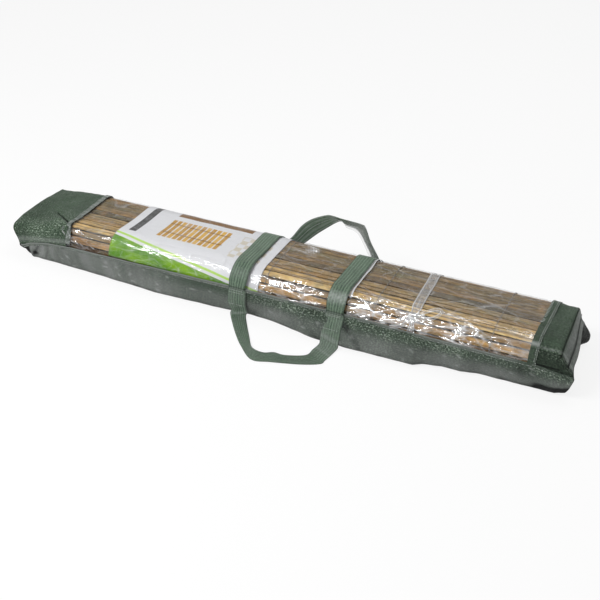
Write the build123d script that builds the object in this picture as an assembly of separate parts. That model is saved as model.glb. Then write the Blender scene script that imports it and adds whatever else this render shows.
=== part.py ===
"""Split bamboo privacy screen, rolled flat and packed in a woven carry bag with a clear window.

Millimetres, +Z up. X runs along the roll, -Y is the front, and the bag lies on Z = 0.
"""
from build123d import *
import math
import os

# Bamboo screen
SCREEN_WIDTH = 1000.0
SCREEN_LENGTH = 3000.0
ROLL_LEFT_X = -425.0
ROLL_HALF_FLAT = 46.5
ROLL_OUTER_RADIUS = 45.0
LAYER_PITCH = 4.8
SLAT_THICKNESS = 2.8
SLAT_EDGE_THICKNESS = 2.1
SLAT_CROWN_SHARE = 0.3
SLAT_WIDTH = 15.0
SLAT_WIDTH_SPREAD = 5.0
SLAT_GAP = 1.8
SLAT_END_SCATTER = 7.0
BEND_SAG = 0.5

# Binding wire
WIRE_ROWS = 4
WIRE_LEFT_MARGIN = 200.0
WIRE_RIGHT_MARGIN = 125.0
WIRE_THICKNESS = 0.5
WIRE_WIDTH = 1.0

# Sheets between the roll and the bag
SHEET_THICKNESS = 0.4
LABEL_LEFT_X = -343.0
LABEL_WIDTH = 331.0
LABEL_LOWEST_Z = 55.0
TIE_X = 297.0
TIE_WIDTH = 20.0
TIE_THICKNESS = 0.5
KNOT_ANGLE = 137.0
KNOT_SIZE = 11.0
KNOT_HEIGHT = 3.0
BOW_LENGTH = 48.0
BOW_WIDTH = 13.0
BOW_THICKNESS = 0.8
TAIL_LENGTH = 22.0

# Bag cloth and film, and the clearance between layers that lie on each other
FABRIC = 1.2
FILM = 0.5
SEAT = 0.2
HEM_WIDTH = 14.0
HEM_THICKNESS = 0.6
CORNER_FACETS = 6
FLOOR_CORNER_FACETS = 2

# Room that the bag leaves round the roll
LEFT_SLACK = 167.0
RIGHT_SLACK = 23.0
SIDE_SLACK = 1.3
FRONT_CORNER_EASE = 5.0
BACK_CORNER_EASE = 0.5
FLOOR_CORNER = 12.0
WINDOW_LEFT_OVERRUN = 8.0
WINDOW_RIGHT_COVER = 53.0
SEAM_BELOW_TOP = 39.5

# How far the foot of the front wall stands out from its seam: the roll has settled forward there
LEFT_FOOT_OUT = -3.0
LONG_FOOT_OUT = 9.0
LEFT_BAND_FOOT_OUT = 2.0
LOOP_FOOT_OUT = 7.0
RIGHT_BAND_FOOT_OUT = 20.0
BULGE_END_OUT = 18.0
RIGHT_FOOT_OUT = -8.0
BULGE_LENGTH = 163.0
BULGE_FADE = 52.0

# Empty left end, pressed down to a low edge that is lifted off the ground
LEFT_EDGE_TOP = 66.0
LEFT_EDGE_LIFT = 16.0
LEFT_EDGE_CORNER = 8.0
LEFT_EDGE_TUCK = 12.0
LEFT_TOE = 41.0
LEFT_TOE_TOP = 75.0
LEFT_TOE_CORNER = 18.0
LEFT_SEAM_Z = 27.0

# Right end, close to the roll
RIGHT_EDGE_TOP = 62.0
RIGHT_EDGE_LIFT = 6.0
RIGHT_EDGE_CORNER = 20.0
RIGHT_EDGE_TUCK = 7.0
RIGHT_TOE = 20.0
RIGHT_SEAM_Z = 49.0

# Straps
STRAP_WIDTH = 38.0
STRAP_THICKNESS = 1.5
BAND_LEFT_X = -53.0
BAND_SPACING = 206.0
FRONT_LOOP_REACH = 126.0
REAR_FOOT_Z = 38.0
REAR_LOOP_HEIGHT = 108.0

# Cutting blocks run this far, which is past the bag on every side
BEYOND = 1500.0

# Heights and places that follow from the layers
WIRE_OFFSET = SLAT_THICKNESS / 2 + SEAT
SHEET_RADIUS = ROLL_OUTER_RADIUS + WIRE_OFFSET + WIRE_THICKNESS + SEAT
BAG_INNER_RADIUS = SHEET_RADIUS + TIE_THICKNESS + SEAT
ROLL_Z = FABRIC + BAG_INNER_RADIUS
BAG_TOP_Z = 2 * ROLL_Z
BAG_FRONT_CORNER = ROLL_Z - FRONT_CORNER_EASE
BAG_BACK_CORNER = ROLL_Z - BACK_CORNER_EASE
BACK_Y = ROLL_HALF_FLAT + ROLL_Z + SIDE_SLACK
FRONT_Y = -BACK_Y
ROLL_RIGHT_X = ROLL_LEFT_X + SCREEN_WIDTH
BAG_LEFT_X = ROLL_LEFT_X - LEFT_SLACK
BAG_RIGHT_X = ROLL_RIGHT_X + RIGHT_SLACK
WINDOW_LEFT_X = ROLL_LEFT_X - WINDOW_LEFT_OVERRUN
WINDOW_RIGHT_X = ROLL_RIGHT_X - WINDOW_RIGHT_COVER
SEAM_Z = BAG_TOP_Z - SEAM_BELOW_TOP
BAND_RIGHT_X = BAND_LEFT_X + BAND_SPACING

# Edges of the loops: share of the way from band to band, share of the loop's reach
FRONT_LOOP_OUTER = [(-0.02, 0.20), (0.11, 0.46), (0.27, 0.76), (0.45, 1.0), (0.63, 0.94),
                    (0.88, 0.81), (1.04, 0.67), (1.06, 0.55), (1.07, 0.32)]
FRONT_LOOP_INNER = [(0.16, 0.20), (0.28, 0.51), (0.39, 0.77), (0.51, 0.81), (0.60, 0.74),
                    (0.71, 0.74), (0.87, 0.58), (0.89, 0.39), (0.90, 0.25)]
REAR_LOOP_OUTER = [(0.0, 0.16), (0.10, 0.34), (0.21, 0.64), (0.32, 0.83), (0.46, 0.97), (0.53, 1.0),
                   (0.64, 0.98), (0.84, 0.96), (0.89, 0.90), (0.95, 0.62), (1.05, 0.28)]
REAR_LOOP_INNER = [(0.17, 0.16), (0.24, 0.31), (0.34, 0.54), (0.41, 0.68), (0.61, 0.94), (0.68, 0.88),
                   (0.80, 0.80), (0.88, 0.60), (0.96, 0.28)]


def block(x, y=(-BEYOND, BEYOND), z=(-BEYOND, BEYOND)):
    """A box from (low, high) pairs."""
    size = [high - low for low, high in (x, y, z)]
    return Pos(*[(low + high) / 2 for low, high in (x, y, z)]) * Box(*size)


def prism(points, x_start, x_end):
    """A YZ outline extruded along X."""
    corners = [Vector(x_start, y, z) for y, z in points]
    face = Face(Wire.make_polygon(corners, close=True))
    return Solid.extrude(face, Vector(x_end - x_start, 0, 0))


# The roll

def arc_radius(half_turn):
    return ROLL_OUTER_RADIUS - half_turn * LAYER_PITCH / 2


def half_turn_length(half_turn):
    return 2 * ROLL_HALF_FLAT + math.pi * arc_radius(half_turn)


def find_half_turn(distance):
    """The half turn that a distance along the spiral falls on, and how far into it."""
    half_turn = 0
    while distance > half_turn_length(half_turn):
        distance -= half_turn_length(half_turn)
        half_turn += 1
    return half_turn, distance


def spiral_point(distance):
    """Point (y, z) of the flattened spiral, about the roll's own middle.

    Each half turn is a level run and a half circle. Its radius is half a layer smaller than the
    one before, so every level run lies one full layer inside the run a turn earlier.
    """
    half_turn, along = find_half_turn(distance)
    radius = arc_radius(half_turn)
    side = 1 if half_turn % 2 else -1
    centre_z = LAYER_PITCH / 2 if half_turn % 2 else 0.0
    if along <= 2 * ROLL_HALF_FLAT:
        return side * (along - ROLL_HALF_FLAT), centre_z + side * radius
    angle = (along - 2 * ROLL_HALF_FLAT) / radius
    return side * (ROLL_HALF_FLAT + radius * math.sin(angle)), centre_z + side * radius * math.cos(angle)


def slat_width(index, distance):
    """Widths vary as split bamboo does, and only narrow slats follow the tight inner bends."""
    swing = math.sin(index * 2.399) * 0.6 + math.sin(index * 0.73) * 0.4
    width = SLAT_WIDTH + SLAT_WIDTH_SPREAD * swing
    half_turn, along = find_half_turn(distance)
    on_bend = along + SLAT_WIDTH > 2 * ROLL_HALF_FLAT
    widest = math.sqrt(8 * BEND_SAG * arc_radius(half_turn))
    return min(width, widest) if on_bend else width


def lay_slats():
    """Walk along the spiral and seat each slat as a chord between two of its points."""
    slats = []
    distance = 0.0
    while distance < SCREEN_LENGTH and arc_radius(find_half_turn(distance)[0]) > LAYER_PITCH:
        width = slat_width(len(slats), distance)
        y0, z0 = spiral_point(distance)
        y1, z1 = spiral_point(distance + width)
        chord = math.hypot(y1 - y0, z1 - z0)
        tangent = ((y1 - y0) / chord, (z1 - z0) / chord)
        slats.append({
            "centre": ((y0 + y1) / 2, (z0 + z1) / 2 + ROLL_Z),
            "tangent": tangent,
            "outward": (-tangent[1], tangent[0]),
            "half": chord / 2,
            "turn": find_half_turn(distance)[0] // 2,
        })
        distance += width + SLAT_GAP
    return slats


def on_slat(slat, along, out):
    """A point of the YZ plane, from a slat's own tangent and outward directions."""
    return tuple(slat["centre"][i] + slat["tangent"][i] * along + slat["outward"][i] * out for i in (0, 1))


def make_slat(slat, index):
    """Split bamboo: a flat inner face and a skin side that is higher in the middle."""
    half = slat["half"]
    crown_half = half * SLAT_CROWN_SHARE
    inner = -SLAT_THICKNESS / 2
    edge = inner + SLAT_EDGE_THICKNESS
    crown = SLAT_THICKNESS / 2
    section = [(-half, inner), (half, inner), (half, edge), (crown_half, crown),
               (-crown_half, crown), (-half, edge)]
    points = [on_slat(slat, along, out) for along, out in section]
    left_cut = SLAT_END_SCATTER * abs(math.sin(index * 1.7))
    right_cut = SLAT_END_SCATTER * abs(math.cos(index * 2.3))
    return prism(points, ROLL_LEFT_X + left_cut, ROLL_RIGHT_X - right_cut)


def lines_meet(first, second, out):
    """Where the lines that lie `out` above two neighbouring slats meet, or None if level."""
    cross = first["tangent"][0] * second["tangent"][1] - first["tangent"][1] * second["tangent"][0]
    if abs(cross) < 0.01:
        return None
    start = on_slat(first, 0, out)
    other = on_slat(second, 0, out)
    across = (other[0] - start[0]) * second["tangent"][1] - (other[1] - start[1]) * second["tangent"][0]
    return on_slat(first, across / cross, out)


def wire_edge(slats, out):
    """One edge of the wire, through every turn, bending only between slats."""
    corners = [lines_meet(a, b, out) for a, b in zip(slats, slats[1:])]
    start = on_slat(slats[0], -slats[0]["half"], out)
    end = on_slat(slats[-1], slats[-1]["half"], out)
    return [start] + [corner for corner in corners if corner] + [end]


def make_wire(slats, x_middle):
    """Flat wire that follows the skin side of every slat."""
    under = wire_edge(slats, WIRE_OFFSET)
    over = wire_edge(slats, WIRE_OFFSET + WIRE_THICKNESS)
    return prism(under + over[::-1], x_middle - WIRE_WIDTH / 2, x_middle + WIRE_WIDTH / 2)


def wire_positions():
    first = ROLL_LEFT_X + WIRE_LEFT_MARGIN
    step = (SCREEN_WIDTH - WIRE_LEFT_MARGIN - WIRE_RIGHT_MARGIN) / (WIRE_ROWS - 1)
    return [first + row * step for row in range(WIRE_ROWS)]


# Label and tie, which lie on the roll

def ring_round_roll(x_start, width, thickness):
    inner = SlotCenterToCenter(2 * ROLL_HALF_FLAT, 2 * SHEET_RADIUS)
    outer = SlotCenterToCenter(2 * ROLL_HALF_FLAT, 2 * (SHEET_RADIUS + thickness))
    plane = Plane((x_start, 0, ROLL_Z), x_dir=(0, 1, 0), z_dir=(1, 0, 0))
    return extrude(plane * (outer - inner), width)


def make_label():
    sheet = ring_round_roll(LABEL_LEFT_X, LABEL_WIDTH, SHEET_THICKNESS)
    return sheet & block((-BEYOND, BEYOND), z=(LABEL_LOWEST_Z, BEYOND))


def make_tie():
    """Ribbon round the roll, with its knot and bow on the front shoulder."""
    band = ring_round_roll(TIE_X - TIE_WIDTH / 2, TIE_WIDTH, TIE_THICKNESS)
    angle = math.radians(KNOT_ANGLE)
    radial = (0, math.cos(angle), math.sin(angle))
    origin = (TIE_X, -ROLL_HALF_FLAT + SHEET_RADIUS * radial[1], ROLL_Z + SHEET_RADIUS * radial[2])
    seat = Plane(origin, x_dir=(1, 0, 0), z_dir=radial)
    knot = seat * Pos(0, 0, KNOT_HEIGHT / 2) * Box(KNOT_SIZE, KNOT_SIZE, KNOT_HEIGHT)
    bow_z = TIE_THICKNESS + SEAT + BOW_THICKNESS / 2
    bow = seat * Pos(BOW_LENGTH / 2, 0, bow_z) * Box(BOW_LENGTH, BOW_WIDTH, BOW_THICKNESS)
    tail = seat * Pos(-TAIL_LENGTH / 2, 0, bow_z) * Box(TAIL_LENGTH, BOW_WIDTH, BOW_THICKNESS)
    return band + knot + bow + tail


# Bag

def bag_stations():
    """Stations of the bag: x, front y at the seam, front y at the foot, back y, bottom z, top z,
    and the radii of the front top, back top and floor corners.
    """
    def full(x, foot_out):
        return (x, FRONT_Y, FRONT_Y - foot_out, BACK_Y, 0, BAG_TOP_Z, BAG_FRONT_CORNER, BAG_BACK_CORNER,
                FLOOR_CORNER)

    left_y = FRONT_Y + LEFT_EDGE_TUCK
    toe_y = FRONT_Y + LEFT_EDGE_TUCK / 2
    right_y = FRONT_Y + RIGHT_EDGE_TUCK
    return [
        (BAG_LEFT_X, left_y, left_y, BACK_Y, LEFT_EDGE_LIFT, LEFT_EDGE_TOP, LEFT_EDGE_CORNER,
         LEFT_EDGE_CORNER, LEFT_EDGE_CORNER),
        (BAG_LEFT_X + LEFT_TOE, toe_y, toe_y, BACK_Y, 0, LEFT_TOE_TOP, LEFT_TOE_CORNER, LEFT_TOE_CORNER,
         FLOOR_CORNER),
        full(WINDOW_LEFT_X, LEFT_FOOT_OUT),
        full((WINDOW_LEFT_X + BAND_LEFT_X) / 2, LONG_FOOT_OUT),
        full(BAND_LEFT_X - STRAP_WIDTH, LEFT_BAND_FOOT_OUT),
        full(BAND_LEFT_X + STRAP_WIDTH, LEFT_BAND_FOOT_OUT),
        full((BAND_LEFT_X + BAND_RIGHT_X) / 2, LOOP_FOOT_OUT),
        full(BAND_RIGHT_X - STRAP_WIDTH, RIGHT_BAND_FOOT_OUT),
        full(BAND_RIGHT_X + STRAP_WIDTH, RIGHT_BAND_FOOT_OUT),
        full(BAND_RIGHT_X + BULGE_LENGTH, BULGE_END_OUT),
        full(BAND_RIGHT_X + BULGE_LENGTH + BULGE_FADE, 0),
        full(BAG_RIGHT_X - RIGHT_TOE, RIGHT_FOOT_OUT),
        (BAG_RIGHT_X, right_y, right_y, BACK_Y, RIGHT_EDGE_LIFT, RIGHT_EDGE_TOP, RIGHT_EDGE_CORNER,
         RIGHT_EDGE_CORNER, FLOOR_CORNER),
    ]


def section_points(station, grow):
    """Section of the bag, grown or shrunk: four sides whose corners are rounded in facets.

    The facets keep their directions at every station, so the cloth between two stations is
    made of flat panels, all but the front wall.
    """
    x, front, foot, back, low, high, front_corner, back_corner, floor_corner = station
    corners = [(back - back_corner, high - back_corner, back_corner, 0, CORNER_FACETS),
               (front + front_corner, high - front_corner, front_corner, 90, CORNER_FACETS),
               (foot + floor_corner, low + floor_corner, floor_corner, 180, FLOOR_CORNER_FACETS),
               (back - floor_corner, low + floor_corner, floor_corner, 270, FLOOR_CORNER_FACETS)]
    points = []
    for y, z, corner, first_angle, facets in corners:
        for facet in range(facets + 1):
            angle = math.radians(first_angle + 90 * facet / facets)
            reach = corner + grow
            points.append(Vector(x, y + reach * math.cos(angle), z + reach * math.sin(angle)))
    return points


def panel(points):
    return Face(Wire.make_polygon(points, close=True))


def cloth_between(a, b, c, d):
    """A flat panel with four corners, or two triangles where the corners don't lie in one plane."""
    twist = (b - a).cross(c - a).dot(d - a)
    if abs(twist) < 1.0:
        return [panel([a, b, c, d])]
    return [panel([a, b, c]), panel([a, c, d])]


def bag_form(grow, end_inset=0.0):
    """The bag's form, grown or shrunk, as panels between its stations."""
    stations = bag_stations()
    stations[0] = (BAG_LEFT_X + end_inset,) + stations[0][1:]
    stations[-1] = (BAG_RIGHT_X - end_inset,) + stations[-1][1:]
    sections = [section_points(station, grow) for station in stations]
    panels = [panel(sections[0]), panel(sections[-1])]
    for near, far in zip(sections, sections[1:]):
        for index in range(len(near)):
            panels += cloth_between(near[index - 1], near[index], far[index], far[index - 1])
    return Solid(Shell(panels))


def above_seam(x_start, x_end):
    """Everything above the line where the walls meet the top, which drops towards the ends."""
    outline = [(BAG_LEFT_X, LEFT_SEAM_Z), (WINDOW_LEFT_X, SEAM_Z), (BAG_RIGHT_X - RIGHT_TOE, SEAM_Z),
               (BAG_RIGHT_X, RIGHT_SEAM_Z), (BAG_RIGHT_X, BEYOND), (BAG_LEFT_X, BEYOND)]
    corners = [Vector(x, -BEYOND, z) for x, z in outline]
    wedge = Solid.extrude(Face(Wire.make_polygon(corners, close=True)), Vector(0, 2 * BEYOND, 0))
    return wedge & block((x_start, x_end))


def make_bag():
    """The woven trough, its ends, its two hemmed top panels and the clear film between them."""
    outer = bag_form(0.0)
    fabric = outer - bag_form(-FABRIC, FABRIC)
    film = outer - bag_form(-FILM, FABRIC)
    folded_edge = bag_form(HEM_THICKNESS) - outer
    inner_left = BAG_LEFT_X + FABRIC
    inner_right = BAG_RIGHT_X - FABRIC
    left_hem = folded_edge & above_seam(WINDOW_LEFT_X - HEM_WIDTH, WINDOW_LEFT_X)
    right_hem = folded_edge & above_seam(WINDOW_RIGHT_X, WINDOW_RIGHT_X + HEM_WIDTH)
    return {
        "bag_end_left": fabric & block((-BEYOND, inner_left)),
        "bag_end_right": fabric & block((inner_right, BEYOND)),
        "bag_body": (fabric & block((inner_left, inner_right))) - above_seam(inner_left, inner_right),
        "bag_top_left": (fabric & above_seam(inner_left, WINDOW_LEFT_X)) + left_hem,
        "bag_top_right": (fabric & above_seam(WINDOW_RIGHT_X, inner_right)) + right_hem,
        "window_film": film & above_seam(WINDOW_LEFT_X, WINDOW_RIGHT_X),
    }


# Straps

def strap_ring(x_middle, foot_out):
    """A strap lying on the bag all round, from which bands and handle legs are cut."""
    station = (x_middle - STRAP_WIDTH / 2, FRONT_Y, FRONT_Y - foot_out, BACK_Y, 0, BAG_TOP_Z,
               BAG_FRONT_CORNER, BAG_BACK_CORNER, FLOOR_CORNER)
    outer, inner = [Solid.extrude(panel(section_points(station, grow)), Vector(STRAP_WIDTH, 0, 0))
                    for grow in (SEAT + STRAP_THICKNESS, SEAT)]
    return outer - inner


def make_band(x_middle, foot_out):
    """Band over the top, down to the front seam and behind the foot of the rear loop."""
    over_top = block((-BEYOND, BEYOND), z=(SEAM_Z, BEYOND))
    behind = block((-BEYOND, BEYOND), (0, BEYOND), (REAR_FOOT_Z, BEYOND))
    return strap_ring(x_middle, foot_out) & (over_top + behind)


def front_leg(x_middle, foot_out):
    """Handle end sewn down the front wall, then falling straight to the ground."""
    inner_y = FRONT_Y - foot_out - SEAT
    span = (x_middle - STRAP_WIDTH / 2, x_middle + STRAP_WIDTH / 2)
    on_wall = strap_ring(x_middle, foot_out) & block(span, (-BEYOND, 0), (FLOOR_CORNER, SEAM_Z))
    fall = block(span, (inner_y - STRAP_THICKNESS, inner_y), (0, FLOOR_CORNER))
    return on_wall + fall


def loop_strip(outer_shares, inner_shares, root, reach_axis, reach, left_foot, right_foot,
               thickness_axis):
    """Flat strip between two edges, from the foot of one band to the foot of the other.

    The feet stand out from the root by their own distances along the reach.
    """
    half = STRAP_WIDTH / 2

    def edge(shares, left_x, right_x):
        inside = [root + Vector(BAND_LEFT_X + BAND_SPACING * a, 0, 0) + reach_axis * reach * b
                  for a, b in shares]
        first = root + Vector(left_x, 0, 0) + reach_axis * left_foot
        last = root + Vector(right_x, 0, 0) + reach_axis * right_foot
        return [first] + inside + [last]

    outer = edge(outer_shares, BAND_LEFT_X - half, BAND_RIGHT_X + half)
    inner = edge(inner_shares, BAND_LEFT_X + half, BAND_RIGHT_X - half)
    return Solid.extrude(panel(outer + inner[::-1]), thickness_axis * STRAP_THICKNESS)


def make_front_handle():
    """Loop that has fallen forward and lies on the ground."""
    root = Vector(0, FRONT_Y - SEAT, 0)
    strip = loop_strip(FRONT_LOOP_OUTER, FRONT_LOOP_INNER, root, Vector(0, -1, 0), FRONT_LOOP_REACH,
                       LEFT_BAND_FOOT_OUT, RIGHT_BAND_FOOT_OUT, Vector(0, 0, 1))
    return strip + front_leg(BAND_LEFT_X, LEFT_BAND_FOOT_OUT) + front_leg(BAND_RIGHT_X, RIGHT_BAND_FOOT_OUT)


def make_rear_handle():
    """Loop that stands up behind the roll, on the back ends of the bands."""
    root = Vector(0, BACK_Y + 2 * SEAT + STRAP_THICKNESS, REAR_FOOT_Z)
    return loop_strip(REAR_LOOP_OUTER, REAR_LOOP_INNER, root, Vector(0, 0, 1), REAR_LOOP_HEIGHT, 0, 0,
                      Vector(0, 1, 0))


def build():
    slats = lay_slats()
    nodes = {}
    for turn in range(slats[-1]["turn"] + 1):
        solids = [make_slat(slat, index) for index, slat in enumerate(slats) if slat["turn"] == turn]
        nodes[f"slats_turn_{turn + 1}"] = Compound(solids)
    for row, x in enumerate(wire_positions()):
        nodes[f"binding_wire_{row + 1}"] = make_wire(slats, x)
    nodes["label_insert"] = make_label()
    nodes["tie_ribbon"] = make_tie()
    nodes.update(make_bag())
    nodes["band_left"] = make_band(BAND_LEFT_X, LEFT_BAND_FOOT_OUT)
    nodes["band_right"] = make_band(BAND_RIGHT_X, RIGHT_BAND_FOOT_OUT)
    nodes["handle_front"] = make_front_handle()
    nodes["handle_rear"] = make_rear_handle()
    return nodes


os.makedirs("parts", exist_ok=True)
for name, shape in build().items():
    export_step(shape, f"parts/{name}.step")
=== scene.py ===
"""Bamboo privacy screen in its woven carry bag: cloth, film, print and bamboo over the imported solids.

Metres, in the row frame. X runs along the roll, -Y is the front, and the bag lies on Z = 0.
"""
import bmesh
import bpy
import math
import random
from mathutils import Matrix, Vector, noise


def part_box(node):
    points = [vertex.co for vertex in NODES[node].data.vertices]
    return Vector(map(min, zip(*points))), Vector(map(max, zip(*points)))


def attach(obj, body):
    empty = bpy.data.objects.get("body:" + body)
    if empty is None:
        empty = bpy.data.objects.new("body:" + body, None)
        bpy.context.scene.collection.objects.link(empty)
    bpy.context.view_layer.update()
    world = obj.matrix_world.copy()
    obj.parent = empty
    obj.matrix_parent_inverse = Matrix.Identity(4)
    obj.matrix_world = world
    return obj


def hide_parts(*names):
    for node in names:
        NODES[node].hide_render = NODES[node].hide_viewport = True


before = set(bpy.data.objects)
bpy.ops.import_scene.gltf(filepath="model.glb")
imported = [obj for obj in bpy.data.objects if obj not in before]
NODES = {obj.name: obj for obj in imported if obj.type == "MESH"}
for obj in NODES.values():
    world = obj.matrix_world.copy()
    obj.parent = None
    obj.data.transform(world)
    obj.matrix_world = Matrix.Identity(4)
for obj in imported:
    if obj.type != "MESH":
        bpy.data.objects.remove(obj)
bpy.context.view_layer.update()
MM = 0.001

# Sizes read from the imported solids
FILM_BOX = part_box("window_film")
BODY_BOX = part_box("bag_body")
LEFT_END_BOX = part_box("bag_end_left")
RIGHT_END_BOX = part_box("bag_end_right")
LEFT_BAND_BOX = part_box("band_left")
RIGHT_BAND_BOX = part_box("band_right")
LABEL_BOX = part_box("label_insert")
REAR_LOOP_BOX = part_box("handle_rear")

BAG_LEFT_X = LEFT_END_BOX[0].x
BAG_RIGHT_X = RIGHT_END_BOX[1].x
WINDOW_LEFT_X = FILM_BOX[0].x
WINDOW_RIGHT_X = FILM_BOX[1].x
TOP_Z = FILM_BOX[1].z
ROLL_Z = TOP_Z / 2
BACK_Y = BODY_BOX[1].y
FRONT_Y = -BACK_Y
STRAP_WIDTH = LEFT_BAND_BOX[1].x - LEFT_BAND_BOX[0].x
BAND_LEFT_X = (LEFT_BAND_BOX[0].x + LEFT_BAND_BOX[1].x) / 2
BAND_RIGHT_X = (RIGHT_BAND_BOX[0].x + RIGHT_BAND_BOX[1].x) / 2
BAND_SPACING = BAND_RIGHT_X - BAND_LEFT_X

# Sizes of the cloth, the straps, the flattened roll and the tie
FRONT_CORNER = ROLL_Z - 5 * MM
BACK_CORNER = ROLL_Z - 0.5 * MM
FLOOR_CORNER = 12 * MM
LEFT_TOE = 41 * MM
RIGHT_TOE = 20 * MM
LOOP_REACH = 126 * MM
ROLL_FLAT = 46.5 * MM
SHEET_RADIUS = 47.3 * MM
RIBBON_X = 297 * MM
HEM_BACK = 20 * MM
CLOTH_THICKNESS = 0.6 * MM
STRAP_THICKNESS = 1.2 * MM
FILM_TUCK = 4 * MM
CLOTH_TAPE = 2.3 * MM
SURROUND_LIGHT = 0.36
FLOOR_GLOW = 0.84

# Sections of the bag: x, front y at the seam, back y, bottom z, top z, radii of the front top,
# back top and floor corners
FULL = (FRONT_Y, BACK_Y, 0.0, TOP_Z, FRONT_CORNER, BACK_CORNER, FLOOR_CORNER)
STATIONS = [
    (BAG_LEFT_X, FRONT_Y + 12 * MM, BACK_Y, 16 * MM, 66 * MM, 8 * MM, 8 * MM, 8 * MM),
    (BAG_LEFT_X + LEFT_TOE, FRONT_Y + 6 * MM, BACK_Y, 0.0, 75 * MM, 18 * MM, 18 * MM, FLOOR_CORNER),
    (WINDOW_LEFT_X - HEM_BACK,) + FULL,
    (BAG_RIGHT_X - RIGHT_TOE,) + FULL,
    (BAG_RIGHT_X, FRONT_Y + 7 * MM, BACK_Y, 6 * MM, 62 * MM, 20 * MM, 20 * MM, FLOOR_CORNER),
]

# Front foot of the wall and height of the front seam, along the bag, in millimetres
FOOT_LINE = [(-592, -88), (-551, -94), (-433, -97), (-330, -102), (-240, -107), (-150, -103), (-26, -97),
             (16, -99), (50, -105), (115, -118), (180, -120), (316, -118), (332, -108), (366, -100),
             (403, -99), (430, -93), (598, -90)]
SEAM_LINE = [(-592, 25), (-580, 25), (-551, 36), (-500, 48), (-440, 54), (-252, 57), (24, 62), (251, 62),
             (290, 60), (534, 60), (578, 55), (598, 49)]


def mix(a, b, share):
    return a + (b - a) * share


def smooth(low, high, value):
    """0 below low, 1 above high, and an eased step between."""
    share = min(max((value - low) / (high - low), 0.0), 1.0)
    return share * share * (3 - 2 * share)


def bell(value, middle, half):
    """1 at the middle, falling to 0 at half a width away."""
    return 1 - smooth(0.0, half, abs(value - middle))


def along_table(table, x):
    """Row of values at x, between the rows of a table whose first column is x."""
    for near, far in zip(table, table[1:]):
        if x <= far[0]:
            share = max((x - near[0]) / (far[0] - near[0]), 0.0)
            return [mix(a, b, share) for a, b in zip(near[1:], far[1:])]
    return list(table[-1][1:])


def seam_z(x):
    return along_table(SEAM_LINE, x / MM)[0] * MM


def section_at(x):
    """Front y, foot y, back y, bottom z, top z and the three corner radii."""
    front, back, low, high, front_corner, back_corner, floor = along_table(STATIONS, x)
    foot = along_table(FOOT_LINE, x / MM)[0] * MM
    return front, foot, back, low, high, front_corner, back_corner, floor


def one_side(section, side):
    """Half widths at the top and the foot, top corner radius, bottom z, top z and floor radius."""
    front, foot, back, low, high, front_corner, back_corner, floor = section
    if side > 0:
        return back, back, back_corner, low, high, floor
    return -front, -foot, front_corner, low, high, floor


def ring_point(section, s):
    """Point (y, z) and outward normal on a section, s along it from the middle of the top.

    Negative s runs towards the front, positive towards the back, both down and under.
    """
    side = -1 if s < 0 else 1
    top_y, foot_y, corner, low, high, floor = one_side(section, side)
    d = abs(s)
    if d < top_y - corner:
        return (side * d, high), (0, 1)
    d -= top_y - corner
    arc = corner * math.pi / 2
    if d < arc:
        a = d / corner
        return ((side * (top_y - corner + corner * math.sin(a)), high - corner * (1 - math.cos(a))),
                (side * math.sin(a), math.cos(a)))
    d -= arc
    drop, out = high - corner - low - floor, foot_y - top_y
    wall = math.hypot(drop, out)
    if d < wall:
        t = d / wall
        return (side * (top_y + out * t), high - corner - drop * t), (side * drop / wall, out / wall)
    d -= wall
    arc = floor * math.pi / 2
    if d < arc:
        a = d / floor
        return ((side * (foot_y - floor + floor * math.cos(a)), low + floor * (1 - math.sin(a))),
                (side * math.cos(a), -math.sin(a)))
    d -= arc
    return (side * (foot_y - floor - d), low), (0, -1)


def half_girth(section, side):
    """Length of the section from the middle of the top to the middle of the underside."""
    top_y, foot_y, corner, low, high, floor = one_side(section, side)
    wall = math.hypot(high - corner - low - floor, foot_y - top_y)
    return top_y - corner + (corner + floor) * math.pi / 2 + wall + foot_y - floor


def seam_s(x, side):
    """Distance from the middle of the top to the seam, on one side."""
    top_y, foot_y, corner, low, high, floor = one_side(section_at(x), side)
    drop = high - seam_z(x)
    if drop < corner:
        return top_y - corner + corner * math.acos(1 - drop / corner)
    wall_drop = high - corner - low - floor
    slope = math.hypot(wall_drop, foot_y - top_y) / wall_drop
    return top_y - corner + corner * math.pi / 2 + (drop - corner) * slope


def end_pull(x, y, z):
    """How far the crumpled ends move along the bag."""
    left = smooth(BAG_LEFT_X + 60 * MM, BAG_LEFT_X, x)
    tucked = 12 * MM * (1 - smooth(23 * MM, 60 * MM, z)) + 14 * MM * (1 - smooth(4 * MM, 23 * MM, z))
    right = smooth(BAG_RIGHT_X - 34 * MM, BAG_RIGHT_X, x)
    near = along_table([(0, -12), (8, -6), (25, 2), (44, 8), (62, 2)], z / MM)[0] * MM
    low = -17 * MM + 13 * MM * smooth(72 * MM, 96 * MM, y)
    top = mix(1 * MM, -17 * MM, smooth(-60 * MM, 95 * MM, y))
    far = mix(low, top, smooth(16 * MM, 50 * MM, z))
    return left * tucked + right * mix(near, far, smooth(-84 * MM, -30 * MM, y))


def give(x, s):
    """How far the cloth stands off the sections: a crown on the left end, a slack far shoulder."""
    crown = 8 * MM * smooth(BAG_LEFT_X + 80 * MM, BAG_LEFT_X, x) * bell(s, -0.010, 0.125)
    slack = 3.8 * MM * bell(s, 0.090, 42 * MM) * smooth(-0.54, -0.46, x)
    slack += 5.5 * MM * bell(s, 0.088, 60 * MM) * smooth(0.548, 0.595, x)
    return crown - slack


def on_bag(x, s, lift=0.0):
    """Point on the bag at x and s, lifted along the outward normal."""
    (y, z), (ny, nz) = ring_point(section_at(x), s)
    lift += give(x, s)
    y, z = y + ny * lift, z + nz * lift
    return Vector((x + end_pull(x, y, z), y, z))


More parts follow.
